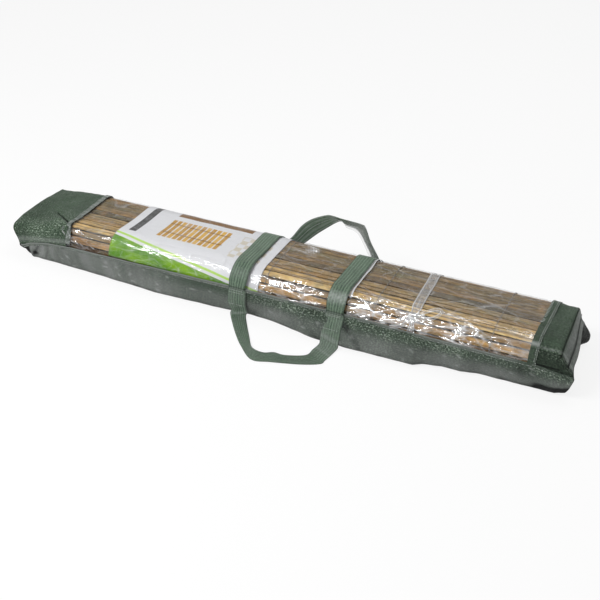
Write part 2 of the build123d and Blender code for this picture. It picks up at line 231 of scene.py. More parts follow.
def on_roll(x, s, radius):
    """Point on the flattened roll, s round it from the middle of the top."""
    side = -1 if s < 0 else 1
    d = abs(s)
    if d < ROLL_FLAT:
        return Vector((x, side * d, ROLL_Z + radius))
    a = (d - ROLL_FLAT) / radius
    if a < math.pi:
        return Vector((x, side * (ROLL_FLAT + radius * math.sin(a)), ROLL_Z + radius * math.cos(a)))
    return Vector((x, side * (2 * ROLL_FLAT - (d - math.pi * radius)), ROLL_Z - radius))


def wander(x, y, seed=0.0):
    """Smooth noise from -1 to 1."""
    return noise.noise(Vector((x, y, seed)))


def crumple(x, y, seed=0.0):
    """Folds as in creased sheet, about 0 to 1: hollows that meet in sharp, irregular ridges."""
    warp = 0.35 * noise.noise(Vector((x * 0.7, y * 0.7, seed + 5)))
    near, _ = noise.voronoi(Vector((x + warp, y - warp, seed)))
    fine, _ = noise.voronoi(Vector((x * 2.3 + 4, y * 2.3, seed + 9)))
    return near[0] * 0.75 + fine[0] * 0.25


def in_scene(name, data):
    """A new object in the scene."""
    made = bpy.data.objects.new(name, data)
    bpy.context.scene.collection.objects.link(made)
    return made


def finish_mesh(bm, name, material, replaced=(), smooth_faces=True):
    """Turn a bmesh into a piece that rides on the roll's body."""
    mesh = bpy.data.meshes.new(name)
    bm.to_mesh(mesh)
    bm.free()
    mesh.materials.append(material)
    for polygon in mesh.polygons:
        polygon.use_smooth = smooth_faces
    piece = in_scene(name, mesh)
    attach(piece, "root")
    if replaced:
        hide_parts(*replaced)
    return piece


def thicken(piece, thickness):
    """Give a sheet its thickness, inwards."""
    solid = piece.modifiers.new("thickness", "SOLIDIFY")
    solid.thickness = thickness
    solid.offset = -1
    solid.use_even_offset = False
    return piece


def draped_grid(columns, rows, place, pattern, paints=None):
    """A grid laid by place(u, v), with the pattern's own coordinates on its UV map.

    paints are functions of u and v whose values go to point attributes of their names.
    """
    bm = bmesh.new()
    bmesh.ops.create_grid(bm, x_segments=columns, y_segments=rows, size=0.5)
    uv_layer = bm.loops.layers.uv.new("Cloth")
    for face in bm.faces:
        for loop in face.loops:
            loop[uv_layer].uv = pattern(loop.vert.co.x + 0.5, loop.vert.co.y + 0.5)
    for name, paint in (paints or {}).items():
        layer = bm.verts.layers.float.new(name)
        for vert in bm.verts:
            vert[layer] = paint(vert.co.x + 0.5, vert.co.y + 0.5)
    for vert in bm.verts:
        vert.co = place(vert.co.x + 0.5, vert.co.y + 0.5)
    bm.normal_update()
    return bm


def face_outwards(bm, centre):
    """Flip the grid if most of its faces look towards the centre."""
    score = sum(face.normal.dot(face.calc_center_median() - centre) for face in bm.faces)
    if score < 0:
        bmesh.ops.reverse_faces(bm, faces=bm.faces[:])
    bm.normal_update()


def curve_through(points, count):
    """Evenly spaced points on a smooth curve through a few points."""
    padded = [points[0] * 2 - points[1]] + points + [points[-1] * 2 - points[-2]]
    dense = []
    for p0, p1, p2, p3 in zip(padded, padded[1:], padded[2:], padded[3:]):
        for step in range(24):
            t = step / 24
            dense.append(((p1 * 2) + (p2 - p0) * t + (p0 * 2 - p1 * 5 + p2 * 4 - p3) * t * t
                          + (p1 * 3 - p0 - p2 * 3 + p3) * t ** 3) * 0.5)
    dense.append(points[-1].copy())
    lengths = [0.0]
    for a, b in zip(dense, dense[1:]):
        lengths.append(lengths[-1] + (b - a).length)
    even, index = [], 0
    for step in range(count):
        goal = lengths[-1] * step / (count - 1)
        while index < len(lengths) - 2 and lengths[index + 1] < goal:
            index += 1
        span = lengths[index + 1] - lengths[index]
        even.append(dense[index].lerp(dense[index + 1], (goal - lengths[index]) / span if span else 0.0))
    return even


def sweep(start, end, count, pair):
    """The pairs of edge points that pair(value) gives at evenly spaced values."""
    return [pair(mix(start, end, step / (count - 1))) for step in range(count)]


def ribbon(name, rows, material, replaced, thickness, columns, paints=None):
    """Strip between pairs of edge points, one pair a row."""
    last = len(rows) - 1
    run = [0.0]
    for (a0, b0), (a1, b1) in zip(rows, rows[1:]):
        run.append(run[-1] + ((a0 + b0) / 2 - (a1 + b1) / 2).length)
    width = (rows[0][0] - rows[0][1]).length

    def place(u, v):
        near, far = rows[round(u * last)]
        return near.lerp(far, v)

    bm = draped_grid(last, columns, place, lambda u, v: (run[round(u * last)], v * width), paints)
    return thicken(finish_mesh(bm, name, material, replaced), thickness)


# Materials

class Value:
    """A number, colour or direction all over a surface; sums and products of them make nodes."""

    def __init__(self, recipe, socket):
        self.recipe = recipe
        self.socket = socket

    def __add__(self, other):
        return self.recipe.math("ADD", self, other)

    def __sub__(self, other):
        return self.recipe.math("SUBTRACT", self, other)

    def __rsub__(self, other):
        return self.recipe.math("SUBTRACT", other, self)

    def __mul__(self, other):
        return self.recipe.math("MULTIPLY", self, other)

    def __truediv__(self, other):
        return self.recipe.math("DIVIDE", self, other)

    def __abs__(self):
        return self.recipe.math("ABSOLUTE", self)

    def held(self):
        """Its own sum or product, held between 0 and 1."""
        self.socket.node.use_clamp = True
        return self


class Recipe:
    """A material built from nodes, one call a node."""

    def __init__(self, name):
        self.material = bpy.data.materials.new(name)
        self.material.use_nodes = True
        self.tree = self.material.node_tree
        self.shader = self.tree.nodes["Principled BSDF"]
        self.output = self.tree.nodes["Material Output"]

    def fill(self, target, value):
        """Put a plain value or another node's output on a socket."""
        if isinstance(value, Value):
            value = value.socket
        if isinstance(value, bpy.types.NodeSocket):
            self.tree.links.new(value, target)
        elif target.type == "RGBA":
            target.default_value = tuple(value) + (1,)
        else:
            target.default_value = value

    def set(self, node, **inputs):
        for key, value in inputs.items():
            numbered = key[0] == "i" and key[1:].isdigit()
            self.fill(node.inputs[int(key[1:]) if numbered else key.replace("_", " ")], value)

    def add(self, kind, settings=None, **inputs):
        node = self.tree.nodes.new("ShaderNode" + kind)
        for key, value in (settings or {}).items():
            setattr(node, key, value)
        self.set(node, **inputs)
        return node

    def take(self, output, kind, settings=None, **inputs):
        """One output of a new node."""
        return Value(self, self.add(kind, settings, **inputs).outputs[output])

    def math(self, operation, a, b=0.0):
        return self.take(0, "Math", {"operation": operation}, i0=a, i1=b)

    def ramp(self, value, stops):
        """Colours, or greys given as one number, at positions from 0 to 1."""
        node = self.add("ValToRGB", Fac=value)
        elements = node.color_ramp.elements
        while len(elements) < len(stops):
            elements.new(0.5)
        for element, (position, colour) in zip(elements, stops):
            element.position = position
            element.color = (colour if isinstance(colour, tuple) else (colour,) * 3) + (1,)
        return Value(self, node.outputs["Color"])

    def blend(self, share, a, b, mode="MIX"):
        return self.take(2, "Mix", {"data_type": "RGBA", "blend_type": mode}, i0=share, i6=a, i7=b)

    def noise(self, place, scale, detail=3.0, roughness=0.5):
        return self.take("Fac", "TexNoise", Vector=place, Scale=scale, Detail=detail, Roughness=roughness)

    def grain(self, place, scales, detail=3.0, roughness=0.5, start=(0, 0, 0)):
        """Noise with a scale of its own on each axis."""
        stretched = self.take(0, "Mapping", Vector=place, Scale=scales, Location=start)
        return self.noise(stretched, 1.0, detail, roughness)

    def random(self, value):
        """A different number from 0 to 1 for each whole number."""
        return self.take("Value", "TexWhiteNoise", {"noise_dimensions": "1D"}, W=value)

    def bump(self, height, strength, distance):
        return self.take(0, "Bump", Strength=strength, Distance=distance, Height=height)

    def painted(self, name):
        """Value of a point attribute of the mesh."""
        return self.take("Fac", "Attribute", {"attribute_name": name})

    def split(self, value):
        outputs = self.add("SeparateXYZ", Vector=value).outputs
        return [Value(self, each) for each in outputs]

    def cloth_axes(self):
        """The pattern's place on the piece, in metres, whole and split."""
        place = self.take(0, "UVMap", {"uv_map": "Cloth"})
        along, across, _ = self.split(place)
        return place, along, across

    def between(self, value, low, high):
        """1 where a value lies between two others."""
        return self.math("GREATER_THAN", value, low) * self.math("LESS_THAN", value, high)

    def see_through(self, share, tint=(1, 1, 1)):
        """Show only a share of the shader, and what lies behind for the rest."""
        clear = self.add("BsdfTransparent", Color=tint)
        mixed = self.add("MixShader", Fac=share, i1=clear.outputs[0], i2=self.shader.outputs[0])
        self.tree.links.new(mixed.outputs[0], self.output.inputs["Surface"])

    def finish(self, colour, roughness, normal, specular=0.5, metallic=0.0):
        self.set(self.shader, Base_Color=colour, Roughness=roughness, Normal=normal, Metallic=metallic,
                 Specular_IOR_Level=specular)
        return self.material


def woven_cloth(name, dark, light, tape, rib=0.0, gloss=0.30, shine=0.45):
    """Flat tapes in a plain weave: each tape has its shade and each crossing its tilt. Dust and painted sheen
    grey it, painted glints lighten it and painted shade darkens it.
    """
    r = Recipe(name)
    place, along, round_it = r.cloth_axes()
    across, down = along / tape, round_it / tape
    column, row = r.math("FLOOR", across), r.math("FLOOR", down)
    over = r.math("MODULO", abs(column + row), 2.0)
    shades = [(0, 0.05), (0.6, 0.5), (1, 1.0)]
    tape_tone = r.blend(over, r.ramp(r.random(column), shades), r.ramp(r.random(row), shades))
    patches = r.noise(place, 9.0, 6.0, 0.62)
    fleck = r.grain(place, (270, 400, 300), 3.0, 0.7)
    tone = (tape_tone * 0.38 + patches * 0.95 + (fleck - 0.5) * 2.6 - 0.30).held()
    colour = r.blend(tone, dark, light)
    if rib:
        # Lengthwise ribs: darker between them, with patchy paler lines along them.
        ridge = abs(r.math("SINE", round_it * (math.pi / rib)))
        paler = (r.grain(place, (25, 90, 1)) - 0.2) * 1.6
        line = (r.math("POWER", ridge, 8.0) * paler).held()
        colour = r.blend((0.75 - ridge).held() * 0.35, colour, (0.012, 0.024, 0.014))
        colour = r.blend(line, colour, (0.31, 0.43, 0.31))
    # Dust and painted sheen grey the cloth where the mesh says.
    dust_and_sheen_amount = r.painted("dust_and_sheen") * (patches * 1.3 + 0.25)
    dust_and_sheen_colour = r.blend(fleck, (0.085, 0.100, 0.090), (0.30, 0.31, 0.30))
    colour = r.blend(r.math("MINIMUM", dust_and_sheen_amount, 0.92), colour, dust_and_sheen_colour)
    # Painted glints: pale specks where the weave would catch the light, strongest where the mesh says.
    painted_glint = (fleck + patches * 0.35 - 0.71).held()
    painted_glint = (painted_glint * (r.painted("painted_sparkle") * 6.0 + 0.8)).held()
    colour = r.blend(painted_glint, colour, (0.50, 0.60, 0.48))
    colour = r.blend(r.painted("pale"), colour, (0.55, 0.58, 0.56))
    # Painted shade from the mesh darkens the colour, and dulls the gloss further down.
    colour = r.blend(r.painted("dark"), colour, (0.002, 0.003, 0.0025))
    cell = r.take(0, "CombineXYZ", X=column, Y=row, Z=0.0)
    chance = r.take("Color", "TexWhiteNoise", {"noise_dimensions": "3D"}, Vector=cell)
    lean_x, lean_y, lean_z = r.split(chance)
    tilt = r.math("FRACT", across) * (lean_x - 0.5) + r.math("FRACT", down) * (lean_y - 0.5)
    ridges = [abs(r.math("SINE", each * math.pi)) for each in (across, down)]
    height = r.blend(over, *ridges) + tilt * 1.8 + fleck * 2.2
    rough = (lean_z * 0.25 + gloss + r.painted("dark") * 0.6).held()
    return r.finish(colour, rough, r.bump(height, 0.8, 0.0010), shine)


def bamboo(name, own_tone):
    """Split bamboo: ochre to grey-brown by slat, long grain, weathered blotches and orange knuckles."""
    r = Recipe(name)
    place = r.take("Object", "TexCoord")
    if own_tone:
        tone, warm = r.painted("tone"), r.painted("warm")
    else:
        # The inner turns get a darker tone range, painted shade for what shows through the gaps between
        # slats.
        tone, warm = r.take("Random Per Island", "NewGeometry") * 0.45, 0.2
    weathered = r.ramp(tone, [(0.0, (0.020, 0.015, 0.007)), (0.3, (0.074, 0.059, 0.029)),
                              (0.62, (0.175, 0.133, 0.060)), (1.0, (0.34, 0.265, 0.120))])
    ochre = r.ramp(tone, [(0.0, (0.045, 0.019, 0.007)), (0.3, (0.16, 0.072, 0.022)),
                          (0.62, (0.42, 0.235, 0.070)), (1.0, (0.66, 0.43, 0.155))])
    grain = r.grain(place, (7, 460, 460), 6.0, 0.68)
    streak = r.grain(place, (2.5, 190, 190), 3.0, 0.5, (3, 0, 0))
    stain = r.grain(place, (24, 52, 52), 6.0, 0.72, (7, 0, 0))
    drift = r.grain(place, (6, 20, 20), 3.0, 0.5, (0, 5, 0))
    mottle = r.grain(place, (48, 150, 150), 4.0, 0.7, (1, 9, 0))
    colour = r.blend(((drift - 0.5) * 1.1 + warm).held(), weathered, ochre)
    colour = r.blend(0.6, colour, r.ramp(grain, [(0.22, 0.16), (0.5, 0.52), (0.78, 0.84)]), "OVERLAY")
    for mask, stops, tint in ((streak, [(0.48, 0), (0.66, 0.75)], (0.050, 0.034, 0.020)),
                              (stain, [(0.52, 0), (0.68, 0.7)], (0.160, 0.150, 0.080)),
                              (stain, [(0.30, 0.8), (0.42, 0)], (0.030, 0.020, 0.012))):
        colour = r.blend(r.ramp(mask, stops), colour, tint)
    colour = r.blend(0.55, colour, r.ramp(mottle, [(0.32, 0.12), (0.68, 0.86)]), "OVERLAY")
    if own_tone:
        colour = r.blend(r.painted("knuckle") * 0.6, colour, (0.28, 0.145, 0.045))
    else:
        # Painted shade: the inner turns are darkened by half towards black.
        colour = r.blend(0.5, colour, (0.004, 0.003, 0.002))
    return r.finish(colour, 0.5, r.bump(grain, 0.6, 0.0007))


def clear_film(name):
    """Thin clear film: mostly see-through, with a glossy face and pale creases, painted highlights that show
    more of the glossy face.
    """
    r = Recipe(name)
    place, _, _ = r.cloth_axes()
    normal = r.bump(r.grain(place, (38, 75, 60), 5.0, 0.62), 0.25, 0.0020)
    cloudy = (r.grain(place, (9, 26, 20), 5.0, 0.65) - 0.50).held() * 0.12
    facing = r.take("Fresnel", "LayerWeight", Blend=0.22, Normal=normal)
    share = facing * 0.13 + r.painted("crease_highlight") * 0.80 + (cloudy + 0.010)
    r.see_through(share.held(), (0.98, 0.98, 0.98))
    return r.finish((0.93, 0.94, 0.95), 0.10, normal, 0.6, 0.75)


def milky_ribbon(name, width):
    """Tie of thin milky plastic, denser where its long edges are folded."""
    r = Recipe(name)
    place, _, across = r.cloth_axes()
    fold = r.grain(place, (12, 160, 1), 3.0, 0.6)
    dense = r.ramp(abs(across / width - 0.5), [(0.30, 0.14), (0.44, 0.50), (0.5, 0.85)])
    r.see_through((dense + (fold - 0.5).held() * 1.2).held())
    return r.finish((0.72, 0.73, 0.74), 0.28, r.bump(fold, 0.5, 0.0008))


def printed_label(name):
    """White sheet with a plain pattern of its own: a slanted green field, gold bars and brown bands."""
    r = Recipe(name)
    place, along, round_it = r.cloth_axes()
    bar_pitch, check_pitch = 0.0115, 0.014

    def block(left, right, low, high):
        return r.between(along, left, right) * r.between(round_it, low, high)

    fibre = r.noise(place, 420.0, 4.0, 0.6)
    slant = round_it + (along + 0.343) * 0.16
    leaf = r.ramp(r.grain(place, (14, 40, 20)), [(0.40, 0), (0.62, 1)])
    green = r.blend(leaf, (0.080, 0.230, 0.001), (0.210, 0.410, 0.003))
    bars = r.math("LESS_THAN", r.math("FRACT", along / bar_pitch), 0.76)
    gold = r.blend(r.random(r.math("FLOOR", along / bar_pitch)), (0.44, 0.24, 0.035), (0.66, 0.41, 0.09))
    cross = r.math("MAXIMUM", r.between(round_it, -0.022, -0.0195), r.between(round_it, 0.013, 0.0155))
    in_bars = block(-0.2645, -0.1265, -0.040, 0.030)
    checks = r.math("FLOOR", along / check_pitch) + r.math("FLOOR", round_it / check_pitch)
    checks = r.math("MODULO", abs(checks), 2.0) * 0.55
    colour = r.blend(fibre, (0.61, 0.615, 0.635), (0.70, 0.705, 0.725))
    for share, tint in ((r.math("LESS_THAN", slant, -0.066), green),
                        (r.between(slant, -0.060, -0.055), (0.40, 0.62, 0.12)),
                        (bars * in_bars, gold),
                        (cross * in_bars, (0.16, 0.07, 0.02)),
                        (block(-0.2645, -0.093, 0.046, 0.066), (0.20, 0.105, 0.035)),
                        (block(-0.325, -0.309, -0.045, 0.09), (0.055, 0.055, 0.055)),
                        (block(-0.100, -0.030, -0.052, 0.030) * checks, (0.50, 0.42, 0.24))):
        colour = r.blend(share, colour, tint)
    return r.finish(colour, 0.5, r.bump(fibre, 0.15, 0.0004), 0.3)


def fine_strand(name, scale, detail, rough_noise, stops, roughness, metallic=0.0):
    """Wire or thread: fine noise between two colours."""
    r = Recipe(name)
    fine = r.noise(r.take("Object", "TexCoord"), scale, detail, rough_noise)
    return r.finish(r.ramp(fine, stops), roughness, r.bump(fine, 0.4, 0.0003), metallic=metallic)


# Pieces

def body_run(x, v):
    """Distance round the bag at a share of the way from the front seam, under, to the back seam."""
    section = section_at(x)
    front_half, back_half = half_girth(section, -1), half_girth(section, 1)
    w = mix(seam_s(x, -1), front_half + back_half - seam_s(x, 1), v)
    return (-w if w < front_half else front_half + back_half - w), w


def end_pleats(x, w):
    """Slanted pleats of the walls, from -1 to 1."""
    return math.sin((x + w * 0.5) * 210 + 3 * wander(x * 20, w * 9, 6.0))


def wall_dust_and_sheen(x, s, z):
    """How grey the cloth is. Dust and painted sheen grey the left wall all over, the right wall only below
    its speckled strip.
    """
    if s > 0:
        return 0.45
    right = smooth(-0.34, -0.12, x)
    low = 1 - smooth(26 * MM, 48 * MM, z)
    cloudy = 0.5 + 0.5 * wander(x * 14, z * 30, 17.0)
    streak = 1 + 0.5 * wander(x * 70 + z * 20, z * 12, 18.0)
    return mix(0.85 * streak, (0.05 + 0.75 * low) * (0.45 + 0.75 * cloudy), right)


def make_body(material):
    """Front wall, underside and back wall as one sheet of cloth that sags round the roll."""
    def at(u, v):
        """Place along the bag, the two distances round it, and height."""
        x = mix(BAG_LEFT_X, BAG_RIGHT_X, u)
        s, w = body_run(x, v)
        return x, s, w, on_bag(x, s).z

    def place(u, v):
        x, s, w, z = at(u, v)
        free = smooth(0.0, 0.10, min(v, 1 - v))
        under = 1 - smooth(0.0, 16 * MM, z)
        end = 1 - smooth(0.0, 0.08, min(x - BAG_LEFT_X, BAG_RIGHT_X - x))
        front = 1 if s < 0 else 0
        belly = bell(z, 36 * MM, 34 * MM) * front
        lift = belly * (1.5 * MM + 4.0 * MM * smooth(0.0, 0.06, x) * (1 - smooth(0.30, 0.34, x)))
        lift += belly * 2.5 * MM * smooth(0.36, 0.42, x)
        lift += wander(x * 9, w * 8, 1.0) * 2.2 * MM * free
        lift += wander(x * 26 + w * 9, w * 9, 2.0) * 2.6 * MM * free
        lift += wander(x * 62 - w * 20, w * 16, 5.0) * 1.3 * MM * free
        lift += (0.5 - crumple(x * 21 + w * 8, w * 26 - x * 5, 3.0)) * (3.0 * MM + 3.4 * MM * end) * free
        lift += wander(x * 140, w * 50, 4.0) * 0.4 * MM
        pleat = end_pleats(x, w) * end * 2.4 * MM * free * (x < 0)
        moved = on_bag(x, s, (lift + pleat) * (1 - 0.8 * under))
        moved.z = max(moved.z, 0.7 * MM)
        return moved

    def pattern(u, v):
        x = mix(BAG_LEFT_X, BAG_RIGHT_X, u)
        return x, body_run(x, v)[1]

    def dust_and_sheen(u, v):
        # Dust and painted sheen on the walls.
        x, s, _, z = at(u, v)
        return wall_dust_and_sheen(x, s, z)

    def dark(u, v):
        """Painted shade: in the folds at the left end's lower corner and in its pleats, along the foot of the
        wall, in slack wrinkles on the right of the front wall, and at its right lower corner.
        """
        x, s, w, z = at(u, v)
        if s > 0:
            return 0.0
        rise = z - section_at(x)[3]
        fold = 1 - smooth(-0.561, -0.550, x + wander(w * 70, 3.0, 27.0) * 5 * MM)
        fold = max(fold, bell(rise, 17 * MM, 7 * MM) * bell(x, -0.536, 12 * MM))
        foot = bell(z, 5 * MM, 10 * MM) * (0.35 + 0.7 * max(wander(x * 30, 2.0, 7.0), 0.0))
        pleats = max(end_pleats(x, w), 0.0) ** 3
        pleats *= 0.75 * smooth(-0.46, -0.56, x) * smooth(6 * MM, 14 * MM, z)
        slack = max(wander(x * 34 + z * 30, z * 26 - x * 9, 16.0), 0.0) ** 2 * 1.3 * smooth(-0.12, 0.0, x)
        corner = 2.4 * smooth(0.520, 0.560, x) * bell(rise, 12 * MM, 13 * MM)
        return min(fold * 1.2 + foot + pleats + slack + corner, 1.0)

    def painted_sparkle(u, v):
        # Painted glints: strongest just below the front seam right of the middle, and beside the right band.
        x = mix(BAG_LEFT_X, BAG_RIGHT_X, u)
        near_band = bell(x, BAND_RIGHT_X - 35 * MM, 60 * MM) * 0.7 * bell(v, 0.08, 0.12)
        return bell(v, 0.03, 0.07) * smooth(-0.06, 0.0, x) + near_band

    def pale(u, v):
        """Outline of the square patch sewn inside, right of the left band, scuffs on the wall, and painted
        light on the crests of the left end's pleats.
        """
        x, s, w, z = at(u, v)
        if s > 0:
            return 0.0
        sides = max(bell(x, 7 * MM, 2.2 * MM), bell(x, 42 * MM, 2.2 * MM)) * smooth(24 * MM, 30 * MM, z)
        scuff = smooth(0.45, 0.62, wander(x * 60 + z * 90, z * 120 - x * 30, 19.0)) * 0.5
        # Painted light on the crests of the left end's pleats.
        light = max(-end_pleats(x, w), 0.0) ** 3
        light *= 0.22 * smooth(-0.46, -0.56, x) * smooth(8 * MM, 16 * MM, z)
        tuck = 0.25 * bell(x, 0.300, 5 * MM) * bell(z, 10 * MM, 12 * MM)
        return min(sides * 0.14 + scuff * 0.6 + light + tuck, 1.0)

    paints = {"dust_and_sheen": dust_and_sheen, "dark": dark, "painted_sparkle": painted_sparkle, "pale": pale}
    bm = draped_grid(400, 96, place, pattern, paints)
    face_outwards(bm, Vector((0, 0, ROLL_Z)))
    piece = thicken(finish_mesh(bm, "bag_cloth", material, ["bag_body"]), CLOTH_THICKNESS)
    middle = section_at(0.0)
    girth = half_girth(middle, -1) + half_girth(middle, 1) - seam_s(0.0, -1) - seam_s(0.0, 1)
    return piece


def make_top_panel(name, x0, x1, material, node, dust_and_sheen_amount, fold, creased, painted_glint_share, paler):
    """Cloth panel between an end and the window; the last five are functions of x and s."""
    def at(u, v):
        x = mix(x0, x1, u)
        return x, mix(-seam_s(x, -1), seam_s(x, 1), v)

    def place(u, v):
        x, s = at(u, v)
        free = smooth(0.0, 0.08, min(v, 1 - v))
        lift = 0.5 * MM + wander(x * 17, s * 14, 5.0) * 1.8 * MM * free
        lift += (0.5 - crumple(x * 19 - s * 7, s * 21 + x * 3, 6.0)) * 3.4 * MM * free
        lift += wander(x * 70, s * 50, 9.0) * 0.7 * MM * free
        lift += fold(x, s) * free
        return on_bag(x, s, lift)

    paints = {"dust_and_sheen": lambda u, v: dust_and_sheen_amount(*at(u, v)), "dark": lambda u, v: creased(*at(u, v)),
              "painted_sparkle": lambda u, v: painted_glint_share(*at(u, v)), "pale": lambda u, v: paler(*at(u, v))}
    bm = draped_grid(max(int((x1 - x0) / (1.5 * MM)), 12), 150, place, at, paints)
    face_outwards(bm, Vector(((x0 + x1) / 2, 0, ROLL_Z)))
    piece = thicken(finish_mesh(bm, name, material, [node]), CLOTH_THICKNESS)
    x = (x0 + x1) / 2
    seam_s(x, -1) + seam_s(x, 1)
    return piece


def left_folds(x, s):
    """A hollow that runs slantwise over the left panel's front shoulder."""
    line = -0.030 - (x + 0.514) * 0.75
    hollow = bell(s, line + 3 * MM, 11 * MM) * smooth(-0.55, -0.51, x)
    ridge = bell(s, line - 12 * MM, 13 * MM) * smooth(-0.55, -0.51, x)
    return ridge * 2.6 * MM - hollow * 3.6 * MM


def left_crease(x, s):
    """Painted shade: the sharp dark line in that hollow, and the shadow along the seam."""
    line = -0.030 - (x + 0.514) * 0.72
    sharp = bell(s, line + wander(x * 90, 1.0, 8.0) * 0.8 * MM, 4.2 * MM) * smooth(-0.522, -0.512, x)
    low = bell(s, -0.112, 8 * MM) * 0.5 * max(wander(x * 70, 5.0, 8.0), 0.0)
    return min(sharp * 1.3 * (0.7 + 0.3 * smooth(-0.50, -0.47, x)) + low, 1.0)


def right_crease(x, s):
    """Stitched line low on the right panel's front, its darker lower strip, and painted shade in the grooves
    of its turned-over edge.
    """
    below = smooth(-0.085, -0.089, s) * 0.50
    pleat = max(bell(x, 0.5765, 2.4 * MM), bell(x, 0.590, 2.2 * MM)) * smooth(-0.096, -0.086, s) * 0.95
    return min(below + pleat + bell(s, -0.1145, 2.2 * MM) * 0.7, 1.0)


def right_folds(x, s):
    """The right panel's edge, turned over along the end."""
    groove = max(bell(x, 0.5765, 3.5 * MM), bell(x, 0.590, 3 * MM) * 0.7) * smooth(-0.112, -0.100, s)
    return bell(x, 0.571, 7 * MM) * MM - bell(x, 0.553, 12 * MM) * 0.5 * MM - groove * 2.2 * MM


def make_end(name, x, inward, depth, material, node, seed):
    """Gathered end: the cloth runs in from the edge to a crumpled middle."""
    section = section_at(x)
    girth_front, girth_back = half_girth(section, -1), half_girth(section, 1)
    middle = Vector((x + inward * depth, 0.0, (section[3] + section[4]) / 2))

    def place(u, v):
        w = u * (girth_front + girth_back)
        s = -w if w < girth_front else girth_front + girth_back - w
        rim = on_bag(x, s)
        share = v ** 0.85
        point = rim.lerp(Vector((middle.x, mix(middle.y, rim.y, 0.35), middle.z)), share)
        point.x = mix(rim.x, middle.x, 1 - (1 - v) ** 2.2)
        loose = math.sin(min(v * 1.1, 1.0) * math.pi)
        creased = 0.5 - crumple(point.y * 26, point.z * 34, seed)
        wave = creased * 13 * MM + wander(point.y * 22, point.z * 60, seed + 3) * 5 * MM
        point.x += inward * wave * loose
        return point

    bm = draped_grid(200, 36, place, lambda u, v: (u * 0.5, v * 0.07))
    bmesh.ops.remove_doubles(bm, verts=bm.verts[:], dist=0.01 * MM)
    bm.normal_update()
    face_outwards(bm, middle + Vector((inward * 0.2, 0, 0)))
    return thicken(finish_mesh(bm, name, material, [node]), CLOTH_THICKNESS)


# Places where the film is most crumpled: x, s, half sizes along and across, strength, in millimetres
FILM_PATCHES = [(50, -98, 75, 30, 0.8), (165, -94, 34, 28, 0.8), (228, -92, 70, 30, 1.1),
                (305, -97, 42, 24, 1.0), (395, -96, 48, 22, 0.95), (480, -100, 40, 12, 0.4),
                (-434, -98, 14, 20, 0.5), (-130, -106, 50, 9, 0.2), (30, 32, 34, 28, 0.6)]


def film_slack(x, s):
    """How loose the film is: most in its crumpled places, none under the bands."""
    loose = 0.09 + mix(0.04, 0.17, smooth(-0.05, 0.0, x)) * smooth(60 * MM, 90 * MM, abs(s))
    for px, ps, rx, rs, strength in FILM_PATCHES:
        far = math.hypot((x / MM - px) / (rx * 1.25), (s / MM - ps) / (rs * 1.25))
        loose = max(loose, strength * (1 - smooth(0.45, 1.0, far)))
    for middle in (BAND_LEFT_X, BAND_RIGHT_X):
        loose *= smooth(STRAP_WIDTH * 0.5, STRAP_WIDTH * 0.5 + 9 * MM, abs(x - middle))
    return loose


def film_fold(x, s):
    """How close the film's broad and small folds are, 1 on a fold: creases that meet in corners."""
    def net(across, down, seed, width):
        warp = 0.5 * noise.noise(Vector((across * 0.8, down * 0.8, seed + 5)))
        near, _ = noise.voronoi(Vector((across + warp, down - warp, seed)))
        return max(1 - (near[1] - near[0]) / width, 0.0)

    broad = net(x * 15 + s * 14, s * 60 - x * 8, 11.0, 0.34)
    small = net(x * 48 - s * 30, s * 120 + x * 18, 14.0, 0.40)
    return broad, small


def make_film(material):
    """Film from seam to seam, taut over the roll and crumpled on the front shoulder."""
    def at(u, v):
        x = mix(WINDOW_LEFT_X - HEM_BACK - FILM_TUCK, WINDOW_RIGHT_X, u)
        return x, mix(-seam_s(x, -1), seam_s(x, 1), v ** 1.25)

    def place(u, v):
        x, s = at(u, v)
        hold = smooth(0.0, 0.03, min(v, 1 - v)) * smooth(0.0, 0.010, min(u, 1 - u))
        loose = film_slack(x, s)
        broad, small = film_fold(x, s)
        lift = (broad - 0.35) * 5.0 * MM + (small - 0.3) * 2.4 * MM + wander(x * 28, s * 40, 12.0) * 2 * MM
        lift *= loose
        lift += wander(x * 12, s * 9, 13.0) * 0.4 * MM - 0.3 * MM * bell(s, 0.062, 45 * MM)
        inward = mix(-1.7 * MM, -3.4 * MM, smooth(62 * MM, 80 * MM, -s))
        return on_bag(x, s, max(min(lift, 3.2 * MM), inward) * hold)

    # Painted highlights: the film shows more of its pale glossy face along its folds, in a fan of streaks,
    # along a slanted line and in thin hairs.
    def crease_highlight(u, v):
        x, s = at(u, v)
        loose = film_slack(x, s)
        broad, small = film_fold(x, s)
        sharp = (broad ** 3 * 0.55 + small ** 4 * 0.35) * (1 + 0.9 * smooth(0.34, 0.40, x))
        sharp += smooth(0.25, 0.5, wander(x * 30, s * 110, 15.0)) * 0.35
        line = bell(s, -0.030 - (x - 0.30) * 0.4, 1.6 * MM) * smooth(0.24, 0.28, x)
        line *= 1 - smooth(0.44, 0.47, x)
        streaks = smooth(0.55, 0.85, abs(math.sin(x * 560 + s * 260))) * bell(x, 0.046, 26 * MM)
        streaks *= bell(s, 0.036, 28 * MM) * 0.55
        hair = smooth(0.045, 0.0, abs(wander(x * 13 + s * 10, s * 30 - x * 3, 19.0))) * 0.22
        hair += smooth(0.05, 0.0, abs(wander(x * 40 - s * 30, s * 46 + x * 9, 20.0))) * 0.16
        return min(sharp * loose + line * 0.35 + streaks + hair * smooth(-0.45, -0.40, x), 1.0)

    bm = draped_grid(620, 130, place, at, {"crease_highlight": crease_highlight})
    face_outwards(bm, Vector((0, 0, ROLL_Z)))
    piece = finish_mesh(bm, "film_window", material, ["window_film"])
    seam_s(0, -1) + seam_s(0, 1)
    return piece


